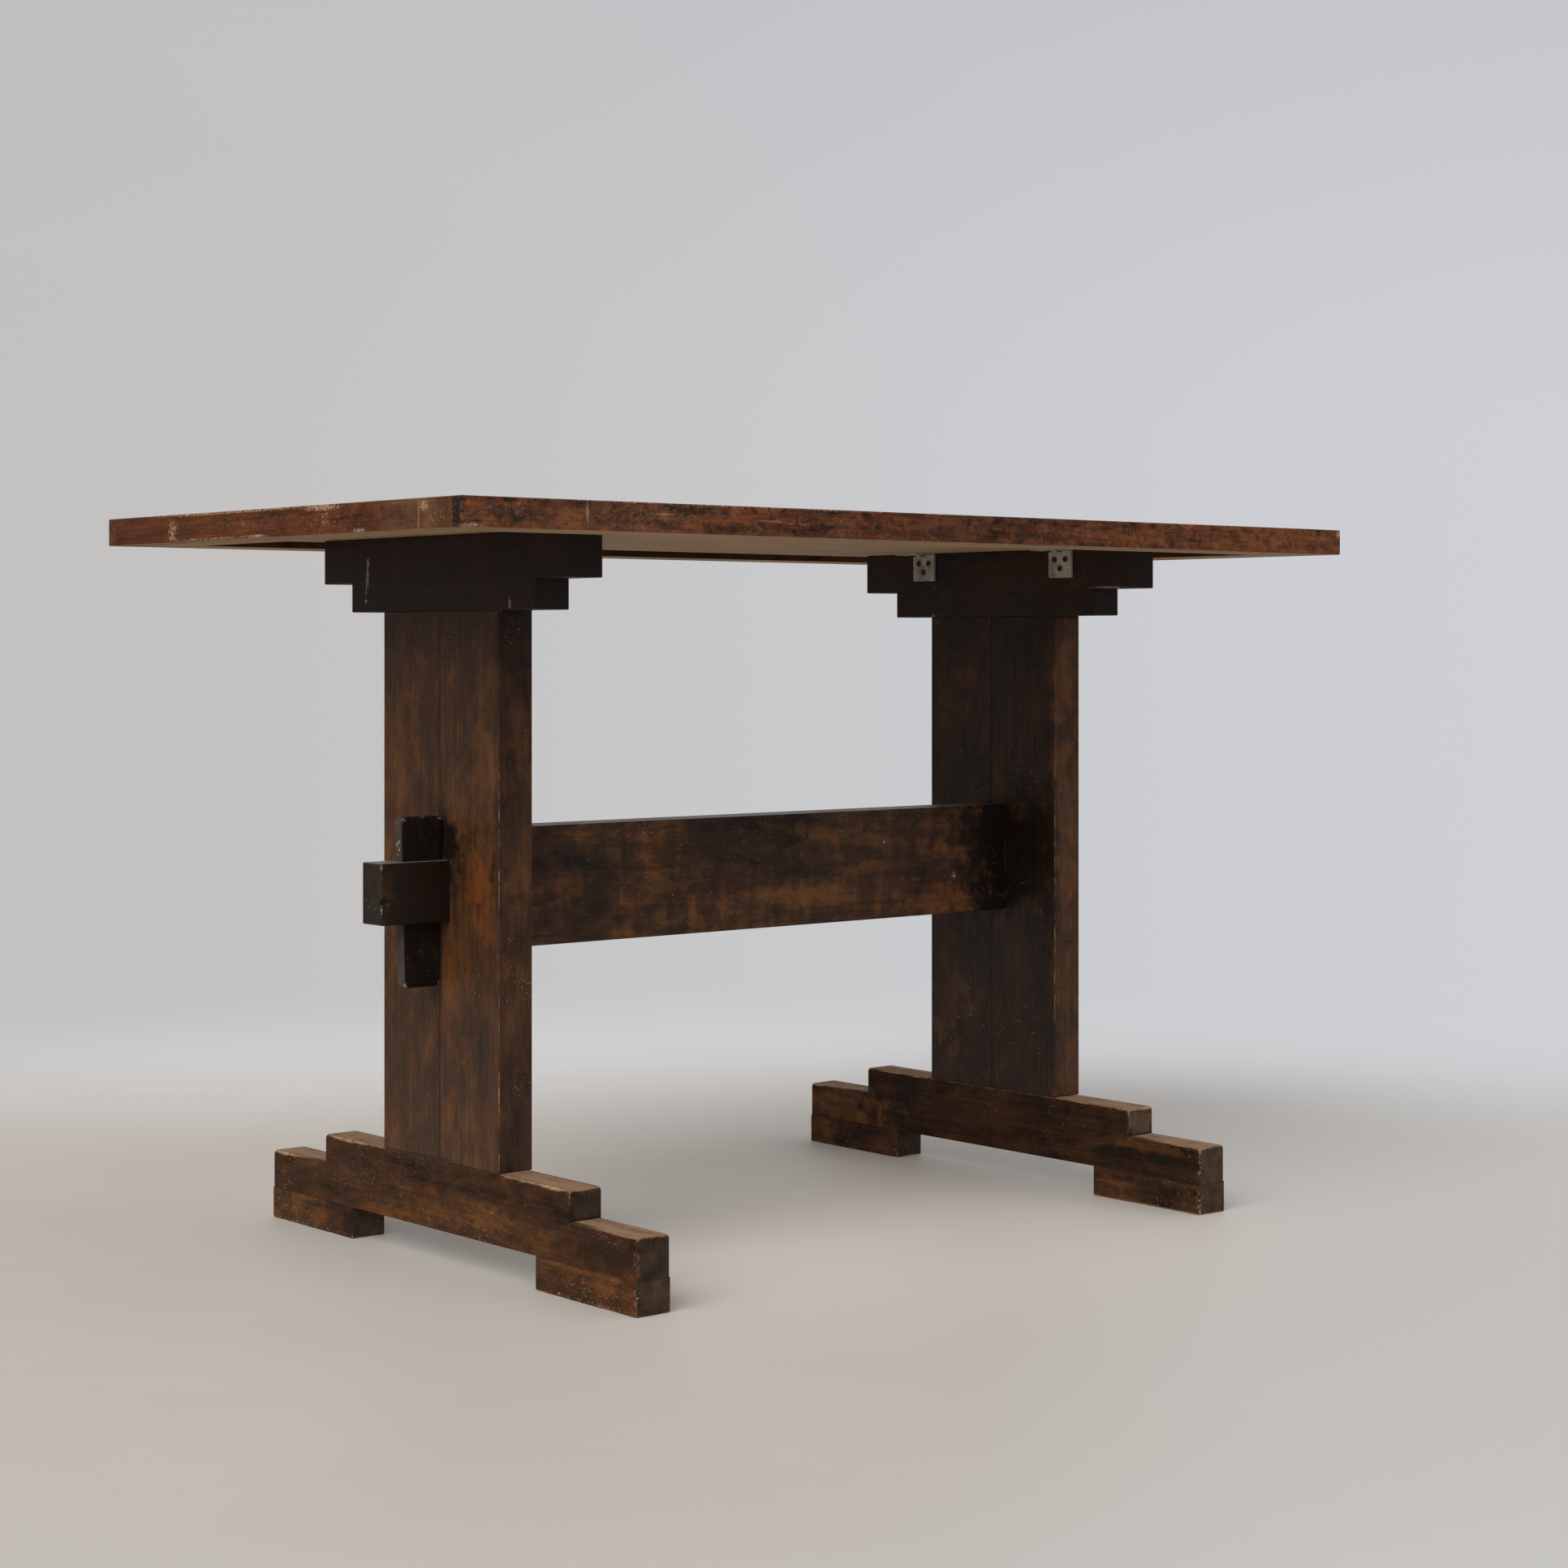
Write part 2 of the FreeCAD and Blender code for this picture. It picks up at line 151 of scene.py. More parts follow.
class TrestleTableColours(bpy.types.PropertyGroup):
    """The stains, the bare wood and the metal."""

    deep: colour_of("Deep stain", (30, 19, 11), "Stain where it lies thickest")
    walnut: colour_of("Walnut stain", (68, 43, 25), "Stain over most of the wood")
    golden: colour_of("Golden stain", (112, 70, 33), "Stain where it has worn thin")
    black: colour_of("Black stain", (22, 14, 10), "The bearers' darkest stain")
    ebony: colour_of("Ebony stain", (40, 25, 17), "The bearers' stain over most of the wood")
    umber: colour_of("Umber stain", (57, 37, 25), "The bearers' stain where it is thin")
    russet: colour_of("Russet stain", (98, 53, 28), "Stain on the tabletop's edges")
    amber: colour_of("Amber stain", (142, 82, 41), "Stain on the tabletop's edges where it is thin")
    bare: colour_of("Bare wood", (186, 151, 114), "The unfinished underside")
    bare_dark: colour_of("Weathered bare wood", (146, 115, 86), "The underside's darker grain")
    worn: colour_of("Worn edge", (180, 147, 115), "Wood that shows through at worn edges")
    end_grain: colour_of("End grain", (38, 32, 26), "Stain soaked into end grain")
    # On the feet's upper faces this colour also stands in for a painted sheen.
    dusty: colour_of("Dusty wood", (150, 121, 96), "The upper faces of the feet, worn and dusty")
    scratch: colour_of("Scratch", (196, 182, 160), "Fresh scratches and bruises")
    steel: colour_of("Zinc plate", (204, 196, 183), "The angle brackets")
    dark_steel: colour_of("Dark steel", (70, 62, 54), "The screws")


class TrestleTableStudio(bpy.types.PropertyGroup):
    """The floor, the background and the lamps."""

    floor: colour_of("Floor", (197, 190, 181), "The floor near the table")
    floor_right: colour_of("Floor right", (197, 193, 188), "The floor on the right")
    wall: colour_of("Background", (195, 193, 191), "The background on the left, and the far floor there")
    wall_right: colour_of("Background right", (206, 208, 214), "The background and far floor on the right")
    wall_top: colour_of("Background top", (190, 190, 196), "The background higher up")
    window: strength_of("Window light", 2.0, "Strength of the broad light from the left")
    room: strength_of("Room light", 0.6, "Strength of the broad light from above")
    daylight: strength_of("Daylight", 0.46, "Light from all round")


def sizes():
    return bpy.context.scene.trestle_sizes


def stains(*names):
    """Colours of the table, by their names."""
    return [tuple(getattr(bpy.context.scene.trestle_colours, name)) for name in names]


# ---------------------------------------------------------------- finishes

def maths(operation, flipped=False):
    """One of a socket's sums: it adds a Math node."""
    def calculate(self, other):
        first, second = (other, self) if flipped else (self, other)
        return self.finish.node("Math", {"operation": operation}, {0: first, 1: second})
    return calculate


class Socket:
    """One value, vector or colour inside a finish. Values can be added, multiplied and so on."""

    def __init__(self, finish, socket):
        self.finish = finish
        self.socket = socket

    __add__ = __radd__ = maths("ADD")
    __mul__ = __rmul__ = maths("MULTIPLY")
    __sub__ = maths("SUBTRACT")
    __rsub__ = maths("SUBTRACT", flipped=True)
    __truediv__ = maths("DIVIDE")
    __pow__ = maths("POWER")


class Nodes:
    """The nodes of a finish, or of the studio's air."""

    def __init__(self, tree):
        self.tree = tree
        self.tree.nodes.clear()

    def node(self, kind, settings=None, inputs=None, output=0):
        """Adds a shader node: its settings first, then the values or links of its sockets."""
        made = self.tree.nodes.new("ShaderNode" + kind)
        for key, value in (settings or {}).items():
            setattr(made, key, value)
        for key, value in (inputs or {}).items():
            self.feed(made.inputs[key], value)
        return Socket(self, made.outputs[output])

    def feed(self, target, value):
        if isinstance(value, Socket):
            self.tree.links.new(value.socket, target)
        else:
            target.default_value = value

    def place(self):
        return self.node("TexCoord", output="Object")

    def parts(self, vector):
        split = self.node("SeparateXYZ", inputs={0: vector}).socket.node
        return [Socket(self, split.outputs[i]) for i in range(3)]

    def joined(self, x, y, z):
        return self.node("CombineXYZ", inputs={0: x, 1: y, 2: z})

    def vector(self, operation, first, second):
        output = "Value" if operation in ("LENGTH", "DOT_PRODUCT", "DISTANCE") else "Vector"
        return self.node("VectorMath", {"operation": operation}, {0: first, 1: second}, output)

    def noise(self, vector, scales, detail=3.0, roughness=0.55, distortion=0.0):
        """Cloudy noise, about 0.3 to 0.7, stretched by one scale or by one for each axis."""
        stretched = self.vector("MULTIPLY", vector, scales if isinstance(scales, tuple) else (scales,) * 3)
        return self.node("TexNoise", inputs={
            "Vector": stretched, "Scale": 1.0, "Detail": detail, "Roughness": roughness,
            "Distortion": distortion})

    def step(self, value, low, high):
        """0 below low, 1 above high, smooth between them."""
        return self.node("MapRange", {"interpolation_type": "SMOOTHSTEP"}, {
            "Value": value, "From Min": low, "From Max": high})

    def mix(self, factor, first, second, kind="MIX"):
        settings = {"data_type": "RGBA", "blend_type": kind}
        return self.node("Mix", settings, {"Factor": factor, 6: first, 7: second}, output=2)

    def ramp(self, value, stops):
        made = self.node("ValToRGB", inputs={0: value}).socket.node
        band = made.color_ramp
        band.elements[0].position, band.elements[0].color = stops[0]
        band.elements[1].position, band.elements[1].color = stops[-1]
        for place, colour in stops[1:-1]:
            band.elements.new(place).color = colour
        return Socket(self, made.outputs[0])

    def attribute(self, name):
        return self.node("Attribute", {"attribute_name": name}, output="Fac")

    def distance(self, here, centre, size):
        """How far a place is from a centre, counted in the half sizes."""
        away = self.vector("DIVIDE", self.vector("SUBTRACT", here, centre), size)
        return self.vector("LENGTH", away, (0, 0, 0))

    def patch(self, here, centre, size, torn):
        """1 well inside a torn blot, 0 well outside it."""
        return 1 - self.step(self.distance(here, centre, size) + (torn - 0.5) * 4.2, 0.4, 1.15)

    def crowd(self, here, centre, size, grain, density):
        """Specks that crowd together round a centre."""
        near = 1 - self.step(self.distance(here, centre, size), 0.2, 1.3)
        return self.step(grain + near * (0.035 + 0.09 * density), 0.64, 0.70) * near


class Finish(Nodes):
    """A material and the nodes that make it."""

    def __init__(self, name):
        self.material = bpy.data.materials.new(name)
        self.material.use_nodes = True
        super().__init__(self.material.node_tree)
        self.bsdf = self.tree.nodes.new("ShaderNodeBsdfPrincipled")
        self.out = self.tree.nodes.new("ShaderNodeOutputMaterial")
        self.tree.links.new(self.bsdf.outputs[0], self.out.inputs[0])

    def surface(self, colour, roughness, height, strength, distance):
        bump = self.node("Bump", inputs={"Height": height, "Strength": strength, "Distance": distance})
        self.feed(self.bsdf.inputs["Base Color"], colour)
        self.feed(self.bsdf.inputs["Roughness"], roughness)
        self.feed(self.bsdf.inputs["Normal"], bump)
        return self.material


def timber(name, grain, seed, tones, cloud=1.0, streak=0.5, mottled=1.0, fine=1.0, figure=0.0, rings=0.4,
           wear=0.5, patchy=1.2, specks=0.3, lift=0.0, painted_front_light=0.0, tenon_lift=0.0, bare_below=0.0,
           tread_dust_and_sheen=0.0, staves=0.0, end_share=0.85, faces=(), marks=(), scuffs=(), gloss=0.42, shine=0.28,
           ring_centre=(0.02, 0.045), tilt=0.06):
    """Stained wood: growth rings, fibres, clouds of stain, worn edges, scuffs and end grain.

    grain is the axis that the fibres follow, and tones name the stains. Marks are torn blots and scuffs
    are crowds of specks, each a (centre, half sizes, colour, strength); some marks are painted shade and
    painted shadow. faces tint all that looks one way, each an (axis, way, colour, strength).
    painted_front_light lightens or darkens the faces that look to the front, a painted light, and
    tread_dust_and_sheen paints dust, wear and a painted sheen on the faces that look up.
    """
    thick, usual, thin = stains(*tones)
    worn, bare, bare_dark, dusty, soaked = stains("worn", "bare", "bare_dark", "dusty", "end_grain")
    f = Finish(name)
    here = f.place()
    x, y, z = f.parts(here)
    along, across, through = {"X": (x, y, z), "Y": (y, x, z), "Z": (z, y, x)}[grain]
    moved = f.joined(along + seed * 1.37, across + seed * 0.61, through - seed * 0.83)

    tatter = f.noise(here, 46, detail=6.0, roughness=0.68)
    ragged = f.noise(here, 230, roughness=0.65)
    patches = f.noise(here, 15, detail=2.0)
    fibres = f.noise(moved, (9, 520, 520), roughness=0.66)
    streaks = f.noise(moved, (2.4, 95, 95), detail=4.0, roughness=0.62)
    clouds = f.noise(moved, (6.5, 14, 14), detail=5.0, roughness=0.6, distortion=0.9)
    mottle = f.noise(moved, (28 * fine, 52 * fine, 52 * fine), detail=5.0, roughness=0.68, distortion=0.6)

    wander = f.noise(moved, (3.4, 6, 6), detail=1.0)
    sideways = across + (wander - 0.5) * 0.05 + (ring_centre[0] + seed * 0.003)
    deep = through + along * tilt + (ring_centre[1] + (wander - 0.5) * 0.02)
    radius = (sideways * sideways + deep * deep) ** 0.5
    growth = f.node("TexNoise", {"noise_dimensions": "1D"}, {"W": radius * 330, "Scale": 1.0, "Detail": 1.5})

    facing = f.parts(f.node("TexCoord", output="Normal"))
    tone = 0.5 + (clouds - 0.5) * (2.2 * cloud) + (mottle - 0.5) * (1.1 * mottled)
    tone = tone + (streaks - 0.5) * streak + (fibres - 0.5) * 0.55 + (growth - 0.5) * rings + lift
    if figure:
        ripple = f.noise(moved, (62, 9, 9), detail=2.0, distortion=0.4)
        tone = tone + (ripple - 0.5) * f.step(clouds, 0.38, 0.6) * figure
    # The faces that look to the front are painted lighter or darker: a painted light.
    if painted_front_light:
        tone = tone + f.step(facing[1] * -1, 0.6, 0.9) * painted_front_light
    if tenon_lift:
        tone = tone + f.step(along * along, 0.4 * 0.4, 0.41 * 0.41) * tenon_lift
    if staves:
        stave = f.node("Math", {"operation": "FLOOR"}, {0: (across + 0.31) / staves})
        board = f.node("TexWhiteNoise", {"noise_dimensions": "1D"}, {"W": stave + seed})
        tone = tone + (board - 0.5) * 0.5
    colour = f.ramp(tone, [(0.06, thick), (0.5, usual), (1.0, thin)])
    tint = f.ramp(patches, [(0.36, (1.12, 0.98, 0.84, 1.0)), (0.64, (0.94, 1.0, 1.0, 1.0))])
    colour = f.mix(1.0, colour, tint, "MULTIPLY")

    pores = f.step(f.noise(moved, (60, 1200, 1200), detail=1.0), 0.6, 0.7)
    colour = f.mix(pores * 0.4, colour, thick)

    toward_grain = facing["XYZ".index(grain)]
    end = f.step(f.node("Math", {"operation": "ABSOLUTE"}, {0: toward_grain}), 0.7, 0.92)
    end_spots = f.noise(here, 300, detail=4.0, roughness=0.72)
    end_tone = (end_spots - 0.5) * 1.7 + (tatter - 0.5) * 1.4 + (growth - 0.5) * 0.3 + 0.47
    end_colour = f.ramp(end_tone, [(0.0, thick), (0.5, soaked), (1.0, usual)])
    colour = f.mix(end * end_share, colour, end_colour)

    below = 0.0
    if bare_below:
        below = f.step(facing[2] * -1 + (tatter - 0.5) * 0.3, 0.55, 0.75) * bare_below
        pits = f.step(f.noise(moved, (85, 420, 420), detail=2.0), 0.66, 0.72)
        pits = pits * f.step(f.noise(moved, (7, 20, 20), detail=1.0), 0.5, 0.62)
        raw_tone = 0.5 + (streaks - 0.5) * 1.8 + (fibres - 0.5) * 1.2 + (clouds - 0.5) * 1.0
        raw = f.ramp(raw_tone, [(0.1, bare_dark), (0.85, bare)])
        raw = f.mix(pits * 0.8, raw, thick)
        colour = f.mix(below, colour, raw)

    for axis, way, shade, strength in faces:
        turned = f.step(facing[axis] * way, 0.7, 0.95)
        colour = f.mix(turned * (strength + (tatter - 0.5) * (0.3 + strength)), colour, shade)
    grit = f.noise(here, 640, roughness=0.6) if marks or scuffs else None
    figured = 0.5 + f.step(mottle * 0.6 + streaks * 0.4, 0.4, 0.6) * 0.5
    for centre, size, shade, strength in marks:
        if min(size) < SMALL_MARK:
            inside = f.patch(here, centre, size, grit if min(size) < TINY_MARK else ragged)
        else:
            inside = f.patch(here, centre, size, tatter)
            inside = inside * figured if strength < 0.9 else inside
        colour = f.mix(inside * strength, colour, shade)
    for centre, size, shade, strength in scuffs:
        inside = f.crowd(here, centre, size, ragged * 0.35 + grit * 0.65, strength)
        colour = f.mix(inside * (0.35 + strength * 0.6), colour, shade)

    # Faces that look up are painted paler: dust and wear, and a painted sheen.
    dust = 0.0
    if tread_dust_and_sheen:
        dust = f.step(facing[2] + (tatter - 0.5) * 0.9, 0.55, 0.95) * tread_dust_and_sheen
        trodden_dust_and_sheen = f.mix(f.step(streaks + (tatter - 0.5) * 0.8, 0.42, 0.7) * 0.7, dusty, thin)
        colour = f.mix(dust, colour, trodden_dust_and_sheen)

    arris = f.attribute("arris")
    crease = f.attribute("crease")
    rubbing = arris + (ragged - 0.5) * 0.9 + (tatter - 0.5) * 0.7 + (patches - 0.5) * patchy + (wear - 1.0)
    rubbed = f.step(rubbing, 0.6, 0.92)
    colour = f.mix(rubbed * 0.88, colour, f.mix(f.step(ragged, 0.42, 0.68), worn, thin))
    colour = f.mix(f.step(crease + (ragged - 0.5) * 0.3, 0.4, 0.85) * 0.75, colour, thick)

    pins = f.noise(here, 560, detail=0.0)
    gathered = f.noise(here, 12, detail=2.0)
    chips = f.step(pins + (gathered - 0.5) * 0.35, 0.86 - specks * 0.09, 0.90 - specks * 0.09)
    tilted = f.joined(x * 210 + z * 260, y * 210 - z * 90, z * 14 + x * 9 + y * 9)
    scored = f.noise(tilted, 1, detail=1.0) + (gathered - 0.5) * 0.4
    scores = f.step(scored, 0.80 - specks * 0.06, 0.88 - specks * 0.06)
    colour = f.mix(chips * 0.6 + scores * 0.22, colour, worn)

    f.bsdf.inputs["Specular IOR Level"].default_value = shine
    roughness = gloss + (fibres - 0.5) * 0.15 + (clouds - 0.5) * 0.25 + (mottle - 0.5) * 0.2 + rubbed * 0.15
    roughness = roughness + below * 0.3 + dust * 0.25
    height = fibres * 0.5 + growth * 0.3 - pores * 0.7 + mottle * 0.25
    height = height - rubbed * 0.3 - chips * 0.9 - scores * 0.4
    return f.surface(colour, roughness, height, 0.35, 0.0006)


def metal(name, tone, shine, grime, seed):
    """Plated or dark steel: scuffed, with dull patches and grime."""
    f = Finish(name)
    here = f.vector("ADD", f.place(), (seed, seed * 0.4, -seed))
    cloudy = f.noise(here, 70, detail=4.0, roughness=0.6)
    scuffs = f.noise(here, (900, 90, 900), detail=2.0)
    specks = f.step(f.noise(here, 420, detail=2.0), 0.62, 0.7)
    clean, dirt = stains(tone, "deep")
    dull = tuple(channel * 0.45 for channel in clean[:3]) + (1.0,)
    colour = f.ramp(0.5 + (cloudy - 0.5) * 2.0 + (scuffs - 0.5) * 0.8, [(0.1, dull), (0.75, clean)])
    colour = f.mix(specks * grime, colour, dirt)
    f.bsdf.inputs["Metallic"].default_value = 0.35
    roughness = shine + (cloudy - 0.5) * 0.4 + specks * 0.2
    return f.surface(colour, roughness, cloudy * 0.6 + scuffs * 0.5 - specks, 0.3, 0.0003)


# ---------------------------------------------------------------- at the bench

def put_down_all():
    if bpy.context.object and bpy.context.object.mode != "OBJECT":
        bpy.ops.object.mode_set(mode="OBJECT")
    bpy.ops.object.select_all(action="DESELECT")


def squared(name, low, high):
    """A block of wood sawn square between two corners, and taken into edit mode."""
    put_down_all()
    low, high = Vector(low), Vector(high)
    bpy.ops.mesh.primitive_cube_add(size=1, location=(low + high) / 2, scale=high - low)
    piece = bpy.context.active_object
    piece.name = name
    piece.data.name = name
    bpy.ops.object.transform_apply()
    bpy.ops.object.mode_set(mode="EDIT")
    return piece


def pick_up(piece):
    """Makes a piece the only one in hand."""
    put_down_all()
    piece.select_set(True)
    bpy.context.view_layer.objects.active = piece


def clamp_up(piece):
    """Takes a piece into edit mode."""
    pick_up(piece)
    bpy.ops.object.mode_set(mode="EDIT")


def choose(piece, kind, test):
    """Selects the faces, edges or corners that pass a test, and says how many there are."""
    bpy.ops.mesh.select_mode(type=kind)
    bpy.ops.mesh.select_all(action="DESELECT")
    mesh = bmesh.from_edit_mesh(piece.data)
    mesh.normal_update()
    items = {"FACE": mesh.faces, "EDGE": mesh.edges, "VERT": mesh.verts}[kind]
    chosen = [item for item in items if test(item)]
    for item in chosen:
        item.select_set(True)
    bmesh.update_edit_mesh(piece.data)
    return len(chosen)


def must_choose(piece, kind, test):
    if not choose(piece, kind, test):
        raise RuntimeError(f"{piece.name} has nothing there to shape")


def turn_of(edge):
    """The angle at which the faces meet: above 0 at an outer corner, below 0 at an inner one."""
    return edge.calc_face_angle_signed(0.0) if len(edge.link_faces) == 2 else 0.0


def middle_of(edge):
    return (edge.verts[0].co + edge.verts[1].co) / 2


def direction_of(edge):
    """The axis, 0 to 2, that an edge runs along most."""
    run = edge.verts[1].co - edge.verts[0].co
    return max(range(3), key=lambda axis: abs(run[axis]))


def ease(piece, width, segments, test=lambda edge: True):
    """Rounds the outer corners that pass a test."""
    if choose(piece, "EDGE", lambda edge: turn_of(edge) > SQUARE_CORNER and test(edge)):
        bpy.ops.mesh.bevel(offset=width, segments=segments)


def score(axis, places):
    """Scores lines right round the clamped piece, square to an axis."""
    square_to = [int(each == axis) for each in range(3)]
    for place in places:
        bpy.ops.mesh.select_all(action="SELECT")
        bpy.ops.mesh.bisect(plane_co=[place * share for share in square_to], plane_no=square_to)


def saw_out(piece, cutter):
    """Cuts the cutter's shape out of a piece, and throws the cutter away."""
    pick_up(piece)
    bpy.ops.object.modifier_add(type="BOOLEAN")
    cut = piece.modifiers[-1]
    cut.operation = "DIFFERENCE"
    cut.solver = "EXACT"
    cut.object = cutter
    bpy.ops.object.modifier_apply(modifier=cut.name)
    put_down_all()
    cutter.select_set(True)
    bpy.ops.object.delete()


def wide_enough(face, band):
    return 2 * face.calc_area() > 2.1 * band * sum(edge.calc_length() for edge in face.edges)


def rub_down(piece, band, seams=(), worn_at=None, glue=0.8):
    """Rings every flat face, so that the wood can wear at its edges and darken in its corners.

    A seam is (axis, distance): edges that are glued there don't wear, and glue says how dark they are.
    worn_at gives an edge's share of wear.
    """
    clamp_up(piece)
    mesh = bmesh.from_edit_mesh(piece.data)
    mesh.faces.layers.int.new("inside")
    for axis in range(3):
        for way in (-1, 1):
            if not choose(piece, "FACE",
                          lambda face: face.normal[axis] * way > FLAT and wide_enough(face, band)):
                continue
            bpy.ops.mesh.inset(thickness=band)
            mesh = bmesh.from_edit_mesh(piece.data)
            kept = mesh.faces.layers.int["inside"]
            for face in mesh.faces:
                if face.select:
                    face[kept] = 1
    mesh = bmesh.from_edit_mesh(piece.data)
    layers = mesh.verts.layers.float
    layers.new("arris")
    layers.new("crease")
    arris, crease = layers["arris"], layers["crease"]
    kept = mesh.faces.layers.int["inside"]
    for corner in mesh.verts:
        if any(face[kept] for face in corner.link_faces):
            continue
        glued = any(abs(abs(corner.co[axis]) - distance) < NEAR_SEAM for axis, distance in seams)
        hollow = any(turn_of(edge) < -SQUARE_CORNER for edge in corner.link_edges)
        rounded = any(max(map(abs, face.normal)) < FLAT for face in corner.link_faces)
        if not glued and (rounded or not hollow):
            turned = min(1.0, (1.0 - max(map(abs, corner.normal))) / 0.15)
            corner[arris] = (0.42 + 0.58 * turned) * (worn_at(corner.co) if worn_at else 1.0)
        corner[crease] = 1.0 if hollow else glue if glued else 0.0
    mesh.faces.layers.int.remove(kept)
    bmesh.update_edit_mesh(piece.data)
    bpy.ops.object.mode_set(mode="OBJECT")


def nick(piece, centre, size):
    """Chips an oval bit out of a piece."""
    put_down_all()
    bpy.ops.mesh.primitive_ico_sphere_add(subdivisions=2, radius=1, location=centre, scale=size)
    chip = bpy.context.active_object
    bpy.ops.object.transform_apply()
    saw_out(piece, chip)


def coat(piece, material):
    piece.data.materials.clear()
    piece.data.materials.append(material)


def hand_over(piece, material, node, body=TABLE, band=None, nicks=(), seams=(),
              worn_at=None, glue=0.8):
    """Smooths a shaped piece, chips and finishes it, and puts it in its node's place."""
    rub_down(piece, band or sizes().wear_band, seams, worn_at, glue)
    for centre, size in nicks:
        nick(piece, centre, size)
    pick_up(piece)
    bpy.ops.object.shade_smooth_by_angle(angle=SMOOTH_CORNER)
    bpy.ops.object.modifier_add(type="WEIGHTED_NORMAL")
    piece.modifiers[-1].keep_sharp = True
    bpy.ops.object.modifier_apply(modifier=piece.modifiers[-1].name)
    coat(piece, material)
    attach(piece, body)
    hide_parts(node)


def on_face(axis, level, reach, rows):
    """Spells out the marks or scuffs of one flat face.

    The face is square to an axis, at a level, and they reach a little into the wood. A row is (place,
    place, half size, half size, colour, strength): places and sizes along the other two axes, in mm.
    """
    spelled = []
    for first, second, half_first, half_second, colour, strength in rows:
        centre, size = [first / 1000, second / 1000], [half_first / 1000, half_second / 1000]
        centre.insert(axis, level)
        size.insert(axis, reach)
        spelled.append((centre, size, colour, strength))
    return spelled


# ---------------------------------------------------------------- the pieces

class ShapeTabletopPanel(bpy.types.Operator):
    """Shape the tabletop's flat panel and stain its upper face"""

    bl_idname = "trestle_table.tabletop_panel"
    bl_label = "Tabletop panel"

    def execute(self, context):
        panel = squared("top_panel", *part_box("tabletop_panel"))
        ease(panel, sizes().seam_easing, 2)
        bruise, dark = stains("scratch", "deep")
        # The scratches come with a darker patch across the underside's middle, at (0, -200): painted shade.
        scratches_and_shade = on_face(2, PANEL_UNDERSIDE, 0.004, [
            (350, 165, 30, 70, bruise, 1.6), (350, -75, 30, 50, bruise, 1.6), (0, -200, 400, 50, dark, 0.2)])
        finish = timber("Panel veneer", "X", 3.1, RUSSET, cloud=0.45, mottled=0.7, rings=0.6, wear=0.0,
                        lift=-0.04, bare_below=1.0, staves=0.124, scuffs=scratches_and_shade, tilt=0.02)
        hand_over(panel, finish, "tabletop_panel")
        return {"FINISHED"}


def on_outer_planes(edge, planes):
    """Whether an edge lies where two of the outer planes meet. A plane is (axis, distance)."""
    middle = middle_of(edge)
    touched = {axis for axis, distance in planes
               if abs(abs(middle[axis]) - distance) < 1e-4 and direction_of(edge) != axis}
    return len(touched) > 1


def lipping_wear(place):
    """A lipping's share of wear: most at the upper edge, least at the corners of the tabletop."""
    at_corner = abs(place.x) > 0.596 and abs(place.y) > 0.321
    return (0.7 if at_corner else 1.25) if place.z > 0.735 else (0.6 if at_corner else 1.1)


